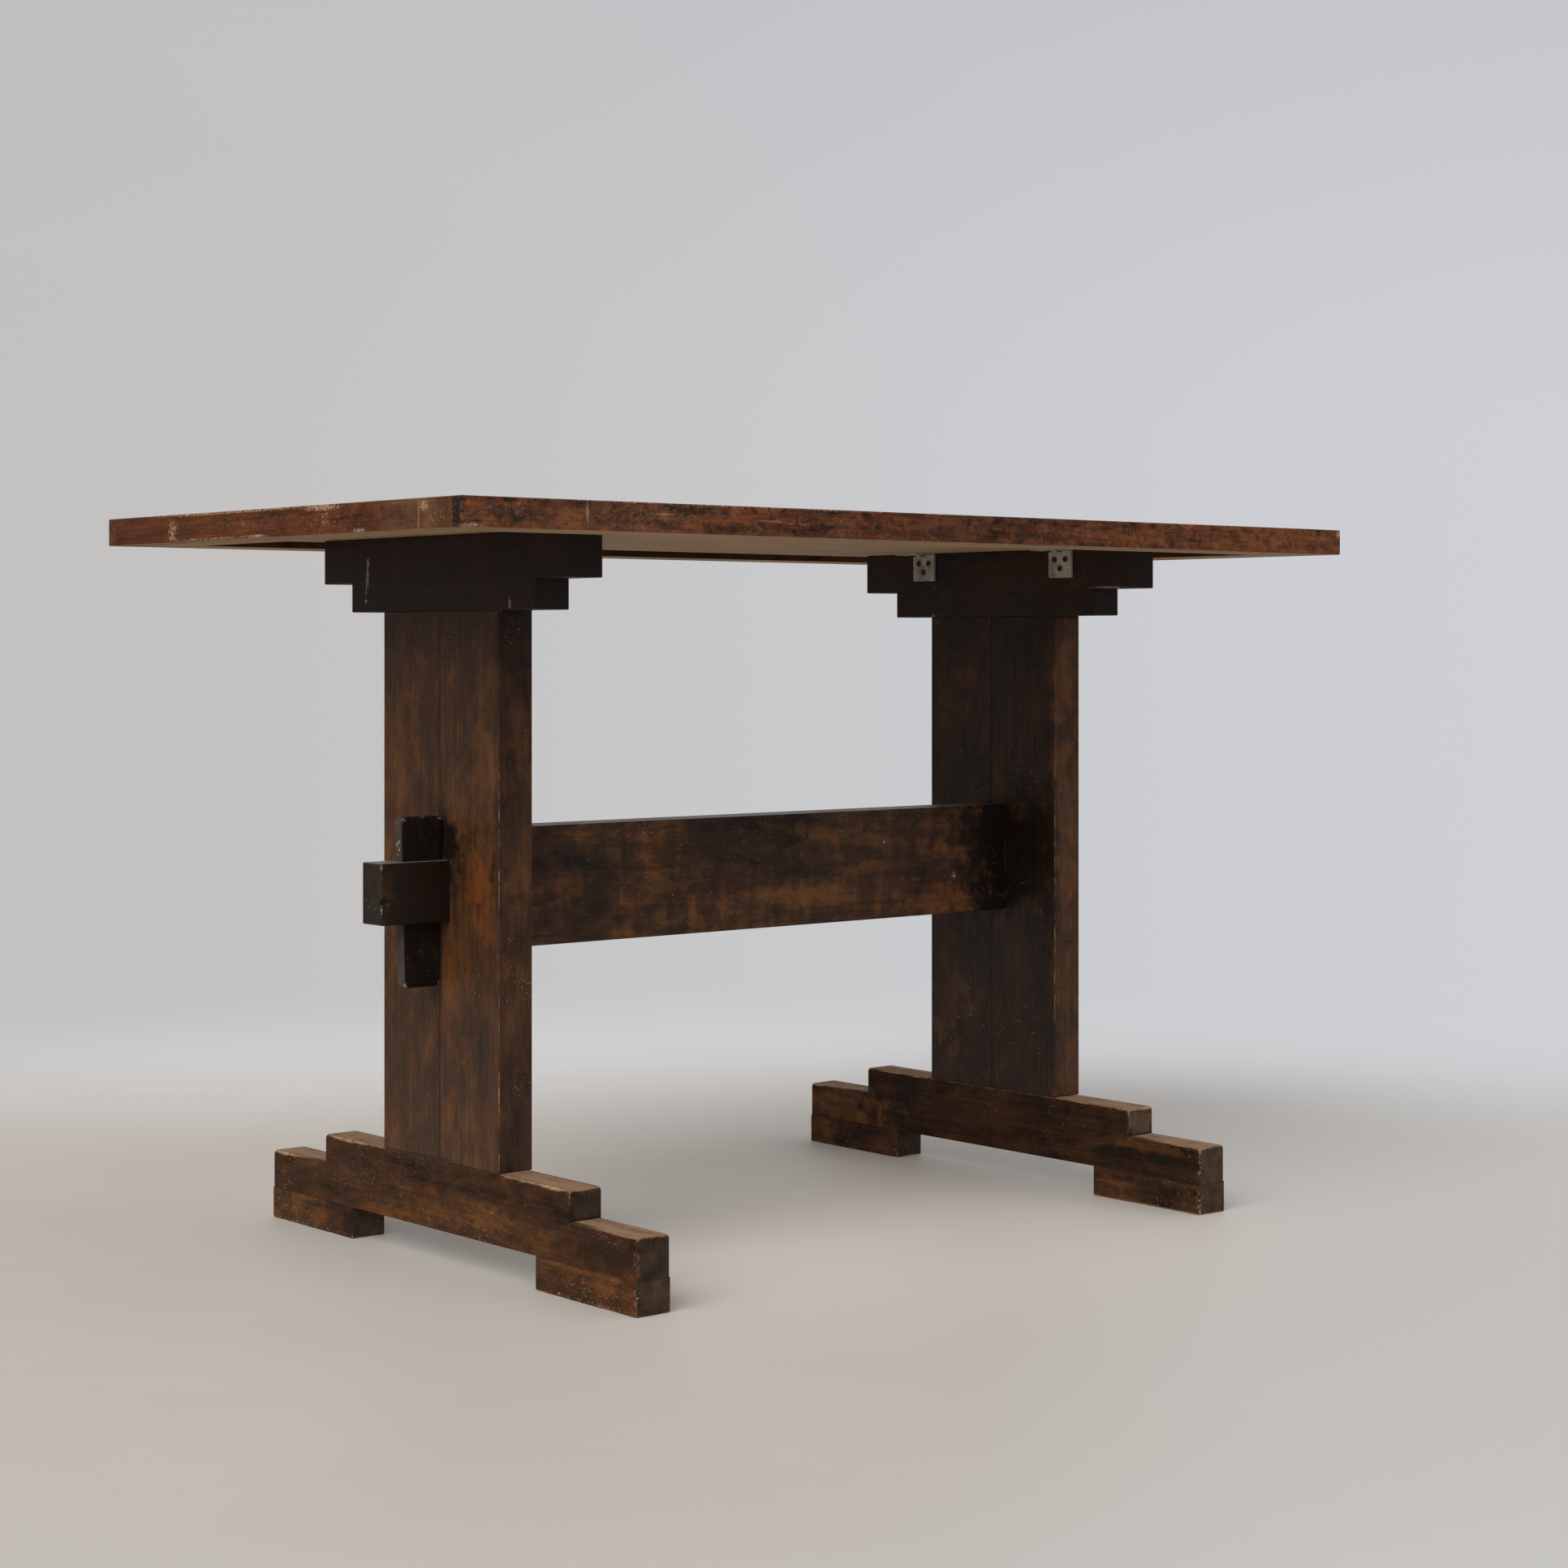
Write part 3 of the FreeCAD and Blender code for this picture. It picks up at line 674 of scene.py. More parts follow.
class ShapeLippings(bpy.types.Operator):
    """Shape the four lippings round the panel, with chips and worn edges"""

    bl_idname = "trestle_table.lippings"
    bl_label = "Edge lippings"

    def execute(self, context):
        dark, pale, bruise, amber, black = stains("deep", "worn", "scratch", "amber", "black")
        front, left = CAD_LOW.y, CAD_LOW.x
        front_marks = on_face(1, front, 0.01, [
            (-553, 736, 16, 6, dark, 0.6), (-441, 732, 20, 5, dark, 0.6), (-344, 743, 18, 4, dark, 0.5),
            (-200, 731, 50, 4, dark, 0.4), (-88, 729, 22, 4, dark, 0.55), (-29, 730, 24, 6, dark, 0.6),
            (133, 731, 30, 5, dark, 0.55), (264, 743, 20, 4, dark, 0.5), (376, 737, 14, 9, dark, 0.4),
            (-450, 736, 240, 30, paint(122, 98, 76), 0.13), (0, 736, 220, 30, dark, 0.4),
            (460, 736, 140, 30, amber, 0.4), (240, 735, 70, 8, amber, 0.35), (-374, 739.3, 14, 1.2, pale, 0.4),
            (-249, 736.7, 20, 1, pale, 0.35), (-462.5, 738, 1.6, 9, bruise, 0.35),
            (596.5, 746.5, 3, 4, bruise, 0.7),
        ])
        front_marks.append(((left, -0.318, 0.737), (0.004, 0.0082, 0.03), black, 0.95))
        front_scuffs = on_face(1, front, 0.01, [
            (-588, 723.8, 18, 3.5, pale, 1.5), (-550, 741, 50, 10, pale, 0.55),
            (-420, 740, 120, 12, pale, 0.5), (-300, 748.8, 300, 2.2, pale, 0.9),
            (-200, 737, 140, 12, pale, 0.3), (200, 737, 220, 12, pale, 0.25), (500, 737, 100, 14, pale, 0.35),
        ])
        left_marks = on_face(0, left, 0.01, [
            (50, 736, 1.5, 5, pale, 0.35), (-257.5, 733, 1.4, 18, pale, 0.5), (-272, 736, 16, 12, amber, 0.35),
            (-260, 737, 100, 30, paint(128, 104, 78), 0.28), (-295, 735, 14, 20, dark, 0.4),
            (-160, 735, 50, 6, dark, 0.3), (120, 733, 70, 5, dark, 0.25),
        ])
        left_scuffs = on_face(0, left, 0.01, [
            (189, 735, 14, 18, pale, 1.3), (189, 726.5, 12, 5, pale, 1.5), (-94, 747.5, 50, 5.5, pale, 1.7),
            (-100, 737, 12, 10, bruise, 1.0), (26, 723.8, 30, 3, pale, 1.6), (-160, 723.8, 18, 3, pale, 1.6),
            (110, 723.8, 140, 2.5, pale, 1.2), (-266, 743, 12, 9, pale, 1.5), (-285, 734, 26, 14, pale, 0.65),
            (80, 748.8, 240, 2.4, pale, 1.5), (0, 736, 280, 16, pale, 0.5),
        ])
        back_scuffs = on_face(1, CAD_HIGH.y, 0.01, [(-200, 738, 300, 14, pale, 0.35)])
        right_scuffs = on_face(0, CAD_HIGH.x, 0.01, [(100, 738, 200, 14, pale, 0.35)])
        plans = [
            ("front", "X", 1.3, front_marks, front_scuffs), ("back", "X", 5.9, [], back_scuffs),
            ("left", "Y", 2.2, left_marks, left_scuffs), ("right", "Y", 8.4, [], right_scuffs),
        ]
        outer = [(0, CAD_HIGH.x), (1, CAD_HIGH.y), (2, CAD_HIGH.z), (2, RIM_UNDERSIDE)]
        mottled = dict(cloud=0.5, streak=0.6, mottled=2.2, fine=2.6, lift=-0.03)
        calm = dict(cloud=0.35, streak=0.35, mottled=0.6, fine=1.4, lift=-0.04, shine=0.1)
        for place, grain, seed, marks, scuffs in plans:
            node = f"{place}_edge_lipping"
            piece = squared(f"lipping_{place}", *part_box(node))
            ease(piece, sizes().lipping_easing, 3, lambda edge: on_outer_planes(edge, outer))
            ease(piece, sizes().seam_easing, 1)
            finish = timber(
                f"Lipping {place}", grain, seed, RUSSET, rings=0.2, wear=0.8, patchy=1.8, specks=0.9,
                bare_below=0.85, end_share=0.3, marks=marks, scuffs=scuffs,
                **(calm if grain == "Y" else mottled))
            hand_over(piece, finish, node, band=0.004, seams=LIPPING_JOINTS, worn_at=lipping_wear, glue=0.35)
        return {"FINISHED"}


class ShapeUndersideStrips(bpy.types.Operator):
    """Shape the strips that thicken the tabletop's rim"""

    bl_idname = "trestle_table.underside_strips"
    bl_label = "Underside strips"

    def execute(self, context):
        inner = [*RIM_INNER_EDGES, (2, RIM_UNDERSIDE)]
        plans = (("front", "X", 4.4), ("back", "X", 7.7), ("left", "Y", 2.9), ("right", "Y", 9.2))
        for place, grain, seed in plans:
            node = f"{place}_underside_strip"
            piece = squared(f"rim_strip_{place}", *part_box(node))
            ease(piece, 0.0008, 2, lambda edge: on_outer_planes(edge, inner))
            ease(piece, sizes().seam_easing, 1)
            finish = timber(f"Rim strip {place}", grain, seed, WALNUT, cloud=0.8, rings=0.3, wear=0.2,
                            bare_below=1.0, gloss=0.45)
            seams = [*LIPPING_JOINTS, (2, PANEL_UNDERSIDE)]
            hand_over(piece, finish, node, band=0.0018, seams=seams)
        return {"FINISHED"}


def stepped(name, node, step, level, rise):
    """A plank with one long tier up to a level, and a shorter one past it in the middle.

    rise is 1 where the short tier is on top and -1 where it hangs below.
    """
    low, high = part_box(node)
    if rise > 0:
        piece = squared(name, low, (high.x, high.y, level))
        height = high.z - level
    else:
        piece = squared(name, (low.x, low.y, level), high)
        height = level - low.z
    score(1, (-step, step))
    must_choose(piece, "FACE",
                lambda face: face.normal.z * rise > FLAT and abs(face.calc_center_median().y) < step)
    bpy.ops.mesh.extrude_region_move(TRANSFORM_OT_translate={"value": (0, 0, rise * height)})
    return piece


class ShapeBearers(bpy.types.Operator):
    """Shape the two stepped bearers under the tabletop"""

    bl_idname = "trestle_table.bearers"
    bl_label = "Bearers"

    def execute(self, context):
        bruise, umber, black = stains("scratch", "umber", "black")
        marks = {
            "left": on_face(0, -OUTER_FACE, 0.01, [
                (132.9, 703.5, 2.1, 5, bruise, 0.9), (132.2, 691, 1.1, 13, bruise, 0.55),
                (134.4, 692, 1.1, 13, bruise, 0.65), (136.2, 680, 1.3, 12, bruise, 0.55),
                (136.7, 665.2, 2.6, 2.2, bruise, 0.8), (-121, 658.5, 2, 6, bruise, 0.5),
                (-40, 674, 70, 12, umber, 0.6), (60, 700, 90, 8, umber, 0.35),
            ]),
            "right": on_face(0, INNER_FACE, 0.01, [
                (99, 654.5, 3, 2, bruise, 0.5), (20, 690, 80, 20, umber, 0.25), (60, 671, 12, 1.2, black, 0.7),
            ]) + [((INNER_FACE, -0.185, 0.6842), (0.03, 0.026, 0.0012), bruise, 0.5)],
        }
        for side, way in SIDES:
            node = f"{side}_bearer"
            piece = stepped(f"bearer_{side}", node, sizes().bearer_step, sizes().bearer_step_level, -1)
            ease(piece, sizes().bearer_easing, 3)
            finish = timber(f"Bearer {side}", "Y", 6.3 + way, EBONY, cloud=0.7, rings=0.25, wear=0.35,
                            specks=0.1, lift=0.06, marks=marks[side], gloss=0.5)
            hand_over(piece, finish, node, seams=[(2, PANEL_UNDERSIDE)],
                      worn_at=lambda place: 0.9 if place.z < 0.6835 else 0.5)
        return {"FINISHED"}


class ShapePosts(bpy.types.Operator):
    """Shape the four boards of the two posts, with the mortises for the tenons"""

    bl_idname = "trestle_table.posts"
    bl_label = "Posts"

    def execute(self, context):
        orange = paint(110, 60, 24)
        dark, golden, black = stains("deep", "golden", "black")
        # In these marks the dark and black blots about 620 to 635 mm up are painted shade under the bearers and
        # the tabletop.
        marks = {
            "left_front": on_face(0, -OUTER_FACE, 0.012, [
                (-70, 387, 26, 30, orange, 0.8), (-68, 382, 14, 16, orange, 0.6),
                (-80, 360, 16, 40, orange, 0.5), (-74, 490, 20, 80, golden, 0.5),
                # (-8, 425), (-12, 420) and (-22, 395) are dark stain beside the wedge, deepened by a painted
                # shadow of the wedge.
                (-90, 530, 10, 90, golden, 0.3), (-8, 425, 32, 50, black, 0.7),
                (-12, 420, 23, 36, black, 0.92), (-22, 395, 22, 35, black, 0.8), (-50, 635, 70, 30, dark, 0.6),
                (-93, 401, 8, 20, dark, 0.8),
            ]) + on_face(1, -POST_EDGE, 0.012, [
                (-381, 385, 18, 50, golden, 0.5), (-381, 535, 20, 35, golden, 0.35),
                (-388, 430, 10, 30, dark, 0.6), (-400, 345, 8, 30, dark, 0.5), (-385, 620, 30, 60, black, 0.7),
            ]),
            "left_back": on_face(0, -OUTER_FACE, 0.012, [
                (50, 635, 70, 30, dark, 0.6), (70, 500, 12, 110, golden, 0.3), (20, 460, 30, 20, dark, 0.3),
            ]),
            "right_front": on_face(1, -POST_EDGE, 0.012, [
                (381, 580, 30, 50, golden, 0.75), (375, 490, 20, 40, golden, 0.55),
                (385, 430, 20, 30, paint(120, 84, 58), 0.35), (380, 250, 30, 50, golden, 0.3),
                (385, 647.5, 5, 4, orange, 0.7),
            ]) + on_face(0, INNER_FACE, 0.012, [
                # On the inner face, (-62, 380) and (-50, 375) are a painted shadow of the rail's end, and (-40,
                # 180) is painted shade low down.
                (-50, 630, 60, 30, black, 0.5), (-62, 380, 60, 100, black, 0.88),
                (-50, 375, 40, 70, black, 0.8), (-45, 250, 25, 50, golden, 0.2),
                (-40, 180, 140, 160, black, 0.55),
            ]),
            "right_back": on_face(0, INNER_FACE, 0.012, [
                (93, 647, 4.5, 4, orange, 0.7), (50, 630, 60, 30, black, 0.5), (60, 570, 30, 40, golden, 0.3),
                # (50, 180) is painted shade low down on the inner face.
                (50, 180, 140, 160, black, 0.5), (70, 207, 30, 90, golden, 0.3),
            ]),
        }
        # The left post's front faces are painted darker and the right post's painted lighter: painted light and
        # shade. The right post is darker all over, partly its stain and partly painted shade on its inner face.
        looks = {
            "left": dict(specks=0.2, lift=0.04, painted_front_light=-0.12),
            "right": dict(specks=0.1, lift=-0.27, painted_front_light=0.3),
        }
        for side, way in SIDES:
            for end, toward in ENDS:
                node = f"{side}_post_{end}_board"
                low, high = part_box(node)
                board = squared(f"post_{side}_{end}", low, high)
                notch = squared("mortise", (low.x - 0.01, -TENON_FACE, TENON_LOW),
                                (high.x + 0.01, TENON_FACE, TENON_HIGH))
                saw_out(board, notch)
                clamp_up(board)
                ease(board, sizes().post_easing, 3,
                     lambda edge: direction_of(edge) == 2 and abs(middle_of(edge).y) > POST_EDGE - 0.003)
                ease(board, sizes().seam_easing * (0.7 if way < 0 else 1.5), 2)
                score(2, (0.106, 0.30, 0.47, 0.64))
                finish = timber(
                    f"Post {side} {end}", "Z", 1.9 + way * 0.7 + toward * 2.3, WALNUT, cloud=0.5, streak=0.2,
                    mottled=0.9, rings=0.3, wear=0.62, marks=marks[f"{side}_{end}"], gloss=0.46,
                    ring_centre=(0.02 * toward, 0.03 - low.x), tilt=0.05, **looks[side])
                hand_over(board, finish, node, seams=[(1, 0.0), (2, FOOT_TOP), (2, BEARER_UNDERSIDE)],
                          worn_at=lambda place: 1.1 if place.z < 0.2 else 1.06 if place.z < 0.48 else 0.8)
        return {"FINISHED"}


def foot_wear(place):
    """A foot plank's share of wear: none under the post, most at the upper edges."""
    if place.z > 0.09:
        return 0.0 if abs(place.y) < 0.1 else 1.0
    return 0.95 if abs(place.y) > sizes().foot_step + 0.01 else 0.5


class ShapeFeet(bpy.types.Operator):
    """Shape the two stepped foot planks and the pads under their ends"""

    bl_idname = "trestle_table.feet"
    bl_label = "Feet"

    def execute(self, context):
        golden, dark, pale, dusty, black = stains("golden", "deep", "worn", "dusty", "black")
        step = sizes().foot_step
        # Each side's marks and scuffs lie on the face that looks to the left.
        marks = {
            "left": [(0, 52, 50, 12, golden, 0.45), (-105, 55, 50, 14, golden, 0.55),
                     # (-20, 94) darkens the top of the side next to the post: painted shade.
                     (250, 52, 50, 14, dark, 0.4), (-275, 55, 50, 16, dark, 0.6), (-20, 94, 90, 10, dark, 0.2)],
            "right": [(270, 50, 90, 30, golden, 0.6), (-1, 50, 3, 6, black, 0.8), (-288, 55, 45, 8, dark, 0.35),
                      (-100, 80, 80, 14, dark, 0.3), (-245, 66, 60, 7.6, golden, 0.35)],
        }
        scuffs = {
            "left": [(-321, 50, 4, 22, pale, 0.7), (-50, 50, 150, 26, pale, 0.3),
                     (160, 60, 100, 30, pale, 0.25), (-270, 64, 60, 12, pale, 0.4)],
            "right": [(-321, 50, 4, 22, pale, 0.7)],
        }
        tier_end = [((0.385, -step, 0.085), (0.03, 0.004, 0.02), dusty, 0.2)]
        looks = {
            "left": dict(cloud=0.65, mottled=1.0, specks=0.7, lift=-0.13, faces=[(1, -1, dusty, 0.06)]),
            "right": dict(cloud=0.5, mottled=0.75, specks=0.18, lift=-0.3, faces=[(1, -1, dusty, 0.12)]),
        }
        pad_lifts = {"left": {"front": 0.05, "back": -0.08}, "right": {"front": -0.16, "back": -0.16}}
        for side, way in SIDES:
            node = f"{side}_foot_plank"
            low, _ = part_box(node)
            face = low.x
            plank = stepped(f"foot_{side}", node, step, sizes().foot_step_level, 1)
            ease(plank, sizes().foot_easing, 4, lambda edge: middle_of(edge).z > PAD_TOP + 0.002)
            ease(plank, sizes().seam_easing, 2)
            score(1, (-0.112, -0.096, 0.096, 0.112))
            finish = timber(f"Foot {side}", "Y", 3.7 + way * 1.1, WALNUT, rings=0.25, wear=0.86, patchy=1.4,
                            tread_dust_and_sheen=0.88, end_share=1.0, gloss=0.5, shine=0.1,
                            marks=on_face(0, face, 0.012, marks[side]) + (tier_end if way > 0 else []),
                            scuffs=on_face(0, face, 0.01, scuffs[side]), **looks[side])
            hand_over(plank, finish, node, seams=[(2, PAD_TOP)], worn_at=foot_wear, glue=0.4)
            dented = 0.7 if way < 0 else 0.3
            for end, toward in ENDS:
                node = f"{side}_foot_{end}_pad"
                pad = squared(f"foot_pad_{side}_{end}", *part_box(node))
                ease(pad, 0.0018, 3, lambda edge: middle_of(edge).z < PAD_TOP - 0.001)
                ease(pad, sizes().seam_easing, 2)
                scuffed = on_face(0, face, 0.01, [
                    (toward * 243, 2, 100, 4.5, pale, dented), (-321, 15, 5, 20, pale, 0.8),
                    (toward * 250, 14, 100, 18, pale, dented - 0.3)])
                finish = timber(f"Foot pad {side} {end}", "Y", 7.1 + way + toward * 0.4, WALNUT, cloud=0.9,
                                streak=0.7, mottled=1.3, rings=0.25, wear=0.85, patchy=1.4, specks=0.9,
                                lift=pad_lifts[side][end], end_share=1.0, gloss=0.5, shine=0.1,
                                faces=[(1, -1, dusty, 0.09)], scuffs=scuffed)
                hand_over(pad, finish, node, seams=[(2, PAD_TOP)],
                          worn_at=lambda place: 1.0 if place.z < 0.004 else 0.8, glue=0.4)
        return {"FINISHED"}


class ShapeRail(bpy.types.Operator):
    """Shape the stretcher rail, its through tenons and the slots for the wedges"""

    bl_idname = "trestle_table.rail"
    bl_label = "Stretcher rail"

    def execute(self, context):
        low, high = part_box("stretcher_rail")
        middle, tenon_end = (low.z + high.z) / 2, high.x
        rail = squared("rail", (-INNER_FACE, low.y, low.z), (INNER_FACE, high.y, high.z))
        shoulder = 0.0045
        for way in (-1, 1):
            must_choose(rail, "FACE", lambda face: face.normal.x * way > FLAT)
            bpy.ops.mesh.inset(thickness=shoulder)
            bpy.ops.transform.resize(
                value=(1, 1, (TENON_HIGH - TENON_LOW) / (high.z - low.z - 2 * shoulder)),
                center_override=(0, 0, middle))
            bpy.ops.mesh.extrude_region_move(
                TRANSFORM_OT_translate={"value": (way * (tenon_end - INNER_FACE), 0, 0)})
        slot_near, slot_far, slot_half, slot_flare = 0.402, 0.45256, 0.0067, 0.00173
        for way in (-1, 1):
            ends = sorted((way * slot_near, way * slot_far))
            slot = squared("slot", (ends[0], -slot_half, TENON_LOW - 0.002),
                           (ends[1], slot_half, TENON_HIGH + 0.002))
            must_choose(slot, "VERT",
                        lambda corner: abs(corner.co.x) > slot_near + 0.01 and corner.co.z > middle)
            bpy.ops.transform.translate(value=(way * slot_flare, 0, 0))
            saw_out(rail, slot)

        def away(test):
            """Tests how far an edge is from the rail's middle, along each axis."""
            return lambda edge: test(*[abs(part) for part in middle_of(edge) - Vector((0, 0, middle))])

        clamp_up(rail)
        ease(rail, 0.0018, 3, away(lambda x, y, z: x > tenon_end - 1e-4))
        ease(rail, 0.0005, 2, away(lambda x, y, z: x > INNER_FACE + 0.03 and y < 0.01))
        ease(rail, 0.001, 3, away(lambda x, y, z: x > INNER_FACE - 1e-4 and (y > 0.017 or z > 0.03)))
        ease(rail, sizes().rail_easing, 3, away(lambda x, y, z: x < 0.3))
        golden, dark, pale, black, bruise = stains("golden", "deep", "worn", "black", "scratch")
        marks = on_face(1, -RAIL_FACE, 0.01, [
            (90, 412, 50, 12, golden, 0.6), (150, 402, 50, 8, golden, 0.5), (150, 370, 60, 7.6, golden, 0.75),
            (35, 347, 80, 9, golden, 0.8), (250, 329, 70, 10, golden, 0.85), (-262, 374, 24, 16, golden, 0.5),
            (-100, 335, 7, 20, golden, 0.7), (-58, 345, 7.6, 18, golden, 0.6),
            (-193.5, 356, 2.8, 13, golden, 0.6), (-140, 366, 50, 8, golden, 0.35),
            (-145, 420, 12, 14, golden, 0.35), (246, 418, 9, 12, golden, 0.5),
            (-50, 366, 35, 14, paint(62, 26, 16), 0.6), (-230, 400, 60, 20, dark, 0.4),
            (200, 364, 70, 8, dark, 0.6), (60, 372, 50, 8, dark, 0.5),
        # The black blots at the rail's right end, beside the right post, are a painted shadow of the rail's end
        # and the post.
        ]) + [((0.40, -RAIL_FACE, 0.39), (0.16, 0.05, 0.3), black, 0.85)] + on_face(1, -RAIL_FACE, 0.01, [
            (370, 380, 70, 140, black, 0.95), (175.6, 398.5, 1.2, 1.6, bruise, 0.7),
        ]) + [
            ((-0.478, -TENON_FACE, 0.372), (0.0076, 0.01, 0.03), golden, 0.2),
            ((-0.482, -TENON_FACE, 0.3665), (0.0065, 0.006, 0.0034), black, 0.95),
            ((-0.4848, -0.0172, 0.3585), (0.0012, 0.002, 0.004), bruise, 0.3),
            ((-0.4848, -0.0172, 0.401), (0.0014, 0.002, 0.003), bruise, 0.4),
        ]
        scuffs = [
            ((0.284, -RAIL_FACE, 0.3565), (0.007, 0.01, 0.008), bruise, 1.0),
            ((-0.315, -RAIL_FACE, 0.345), (0.03, 0.01, 0.02), pale, 0.4),
            ((-0.485, 0.004, 0.362), (0.003, 0.02, 0.014), bruise, 0.3),
            ((-0.474, -TENON_FACE, 0.375), (0.012, 0.003, 0.024), pale, 0.25),
        ]
        dust = paint(150, 144, 136)
        finish = timber("Rail", "X", 4.9, WALNUT, cloud=0.85, streak=0.35, mottled=1.25, fine=1.35, figure=1.3,
                        rings=0.15, wear=0.7, patchy=1.4, specks=0.35, faces=[(2, 1, dust, 0.5)], marks=marks,
                        scuffs=scuffs, gloss=0.44, lift=-0.04, tenon_lift=-1.0)
        nicks = [((-0.483, -0.0188, 0.3665), (0.011, 0.0042, 0.0034)),
                 ((-0.4855, -0.0182, 0.353), (0.0022, 0.0022, 0.005)),
                 ((-0.4858, -0.0178, 0.401), (0.0022, 0.0020, 0.004))]
        hand_over(rail, finish, "stretcher_rail", band=0.0025, nicks=nicks,
                  worn_at=lambda place: 0.85 if place.z > 0.4 else 0.5)
        return {"FINISHED"}


class ShapeWedges(bpy.types.Operator):
    """Shape the two tapered wedges, with round corners and a nick in the top"""

    bl_idname = "trestle_table.wedges"
    bl_label = "Wedges"

    def execute(self, context):
        for side, way in SIDES:
            node = f"{side}_wedge"
            low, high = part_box(node)
            middle = (low.x + high.x) / 2
            toe = 0.0205            # half the width at the lower end
            wedge = squared(f"wedge_{side}", (middle - toe, low.y, low.z), (middle + toe, high.y, high.z))
            must_choose(wedge, "FACE", lambda face: face.normal.z > FLAT)
            bpy.ops.transform.resize(
                value=((high.x - low.x) / (2 * toe), 1, 1), center_override=(middle, 0, high.z))
            ease(wedge, sizes().wedge_shoulder, 6,
                 lambda edge: direction_of(edge) == 1 and middle_of(edge).z > high.z - 0.001)
            ease(wedge, sizes().wedge_toe, 5,
                 lambda edge: direction_of(edge) == 1 and middle_of(edge).z < low.z + 0.001)
            ease(wedge, sizes().wedge_easing, 2)
            narrow = low.x if way < 0 else high.x           # the narrow face that looks outward
            dull, (bruise,) = paint(84, 69, 57), stains("scratch")
            scuffed = on_face(0, narrow, 0.003, [
                (-2, 424.5, 1.4, 1.6, bruise, 0.8), (2, 421.5, 1.2, 2.2, bruise, 0.7),
                (-1.5, 416.5, 1.4, 1.8, bruise, 0.8), (1, 411, 1.2, 1.4, bruise, 0.7),
            ]) + [
                ((narrow - way * 0.004, low.y, high.z - 0.003), (0.0024, 0.004, 0.0012), bruise, 0.25),
                ((middle + way * 0.0195, low.y, low.z + 0.002), (0.0015, 0.004, 0.003), bruise, 0.5),
                ((middle - way * 0.0195, low.y, low.z + 0.003), (0.0012, 0.004, 0.002), bruise, 0.5),
                ((middle - way * 0.0215, low.y, high.z - 0.002), (0.003, 0.004, 0.0016), bruise, 0.4),
            ]
            finish = timber(f"Wedge {side}", "Z", 2.6 + way, BLACKENED, cloud=0.5, rings=0.1, wear=0.66,
                            specks=0.0, faces=[(0, way, dull, 0.7)], marks=scuffed)
            nicks = [((middle, low.y, high.z), (0.0030, 0.0065, 0.0026)),
                     ((middle + way * 0.0255, low.y, high.z - 0.006), (0.0022, 0.0022, 0.004)),
                     ((middle + way * 0.011, low.y - 0.0002, high.z + 0.0003), (0.004, 0.0022, 0.0014))]
            hand_over(wedge, finish, node, body=f"{side}_wedge", band=0.0022, nicks=nicks,
                      worn_at=lambda place: 0.85 if place.z > 0.44 or place.z < 0.29 else 0.6)
        return {"FINISHED"}


class FinishFittings(bpy.types.Operator):
    """Finish the angle brackets, their screws and the dowels"""

    bl_idname = "trestle_table.fittings"
    bl_label = "Brackets, screws and dowels"

    def execute(self, context):
        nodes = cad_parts
        seed = 0.0
        for side, _ in SIDES:
            for end, _ in ENDS:
                seed += 1.7
                coat(nodes[f"{side}_{end}_bracket"], metal(f"Bracket {side} {end}", "steel", 0.5, 0.5, seed))
        coat(nodes["bracket_screws"], metal("Screws", "dark_steel", 0.45, 0.7, 3.3))
        coat(nodes["post_dowels"], timber("Dowels", "Z", 5.5, UNSTAINED, cloud=0.4))
        return {"FINISHED"}


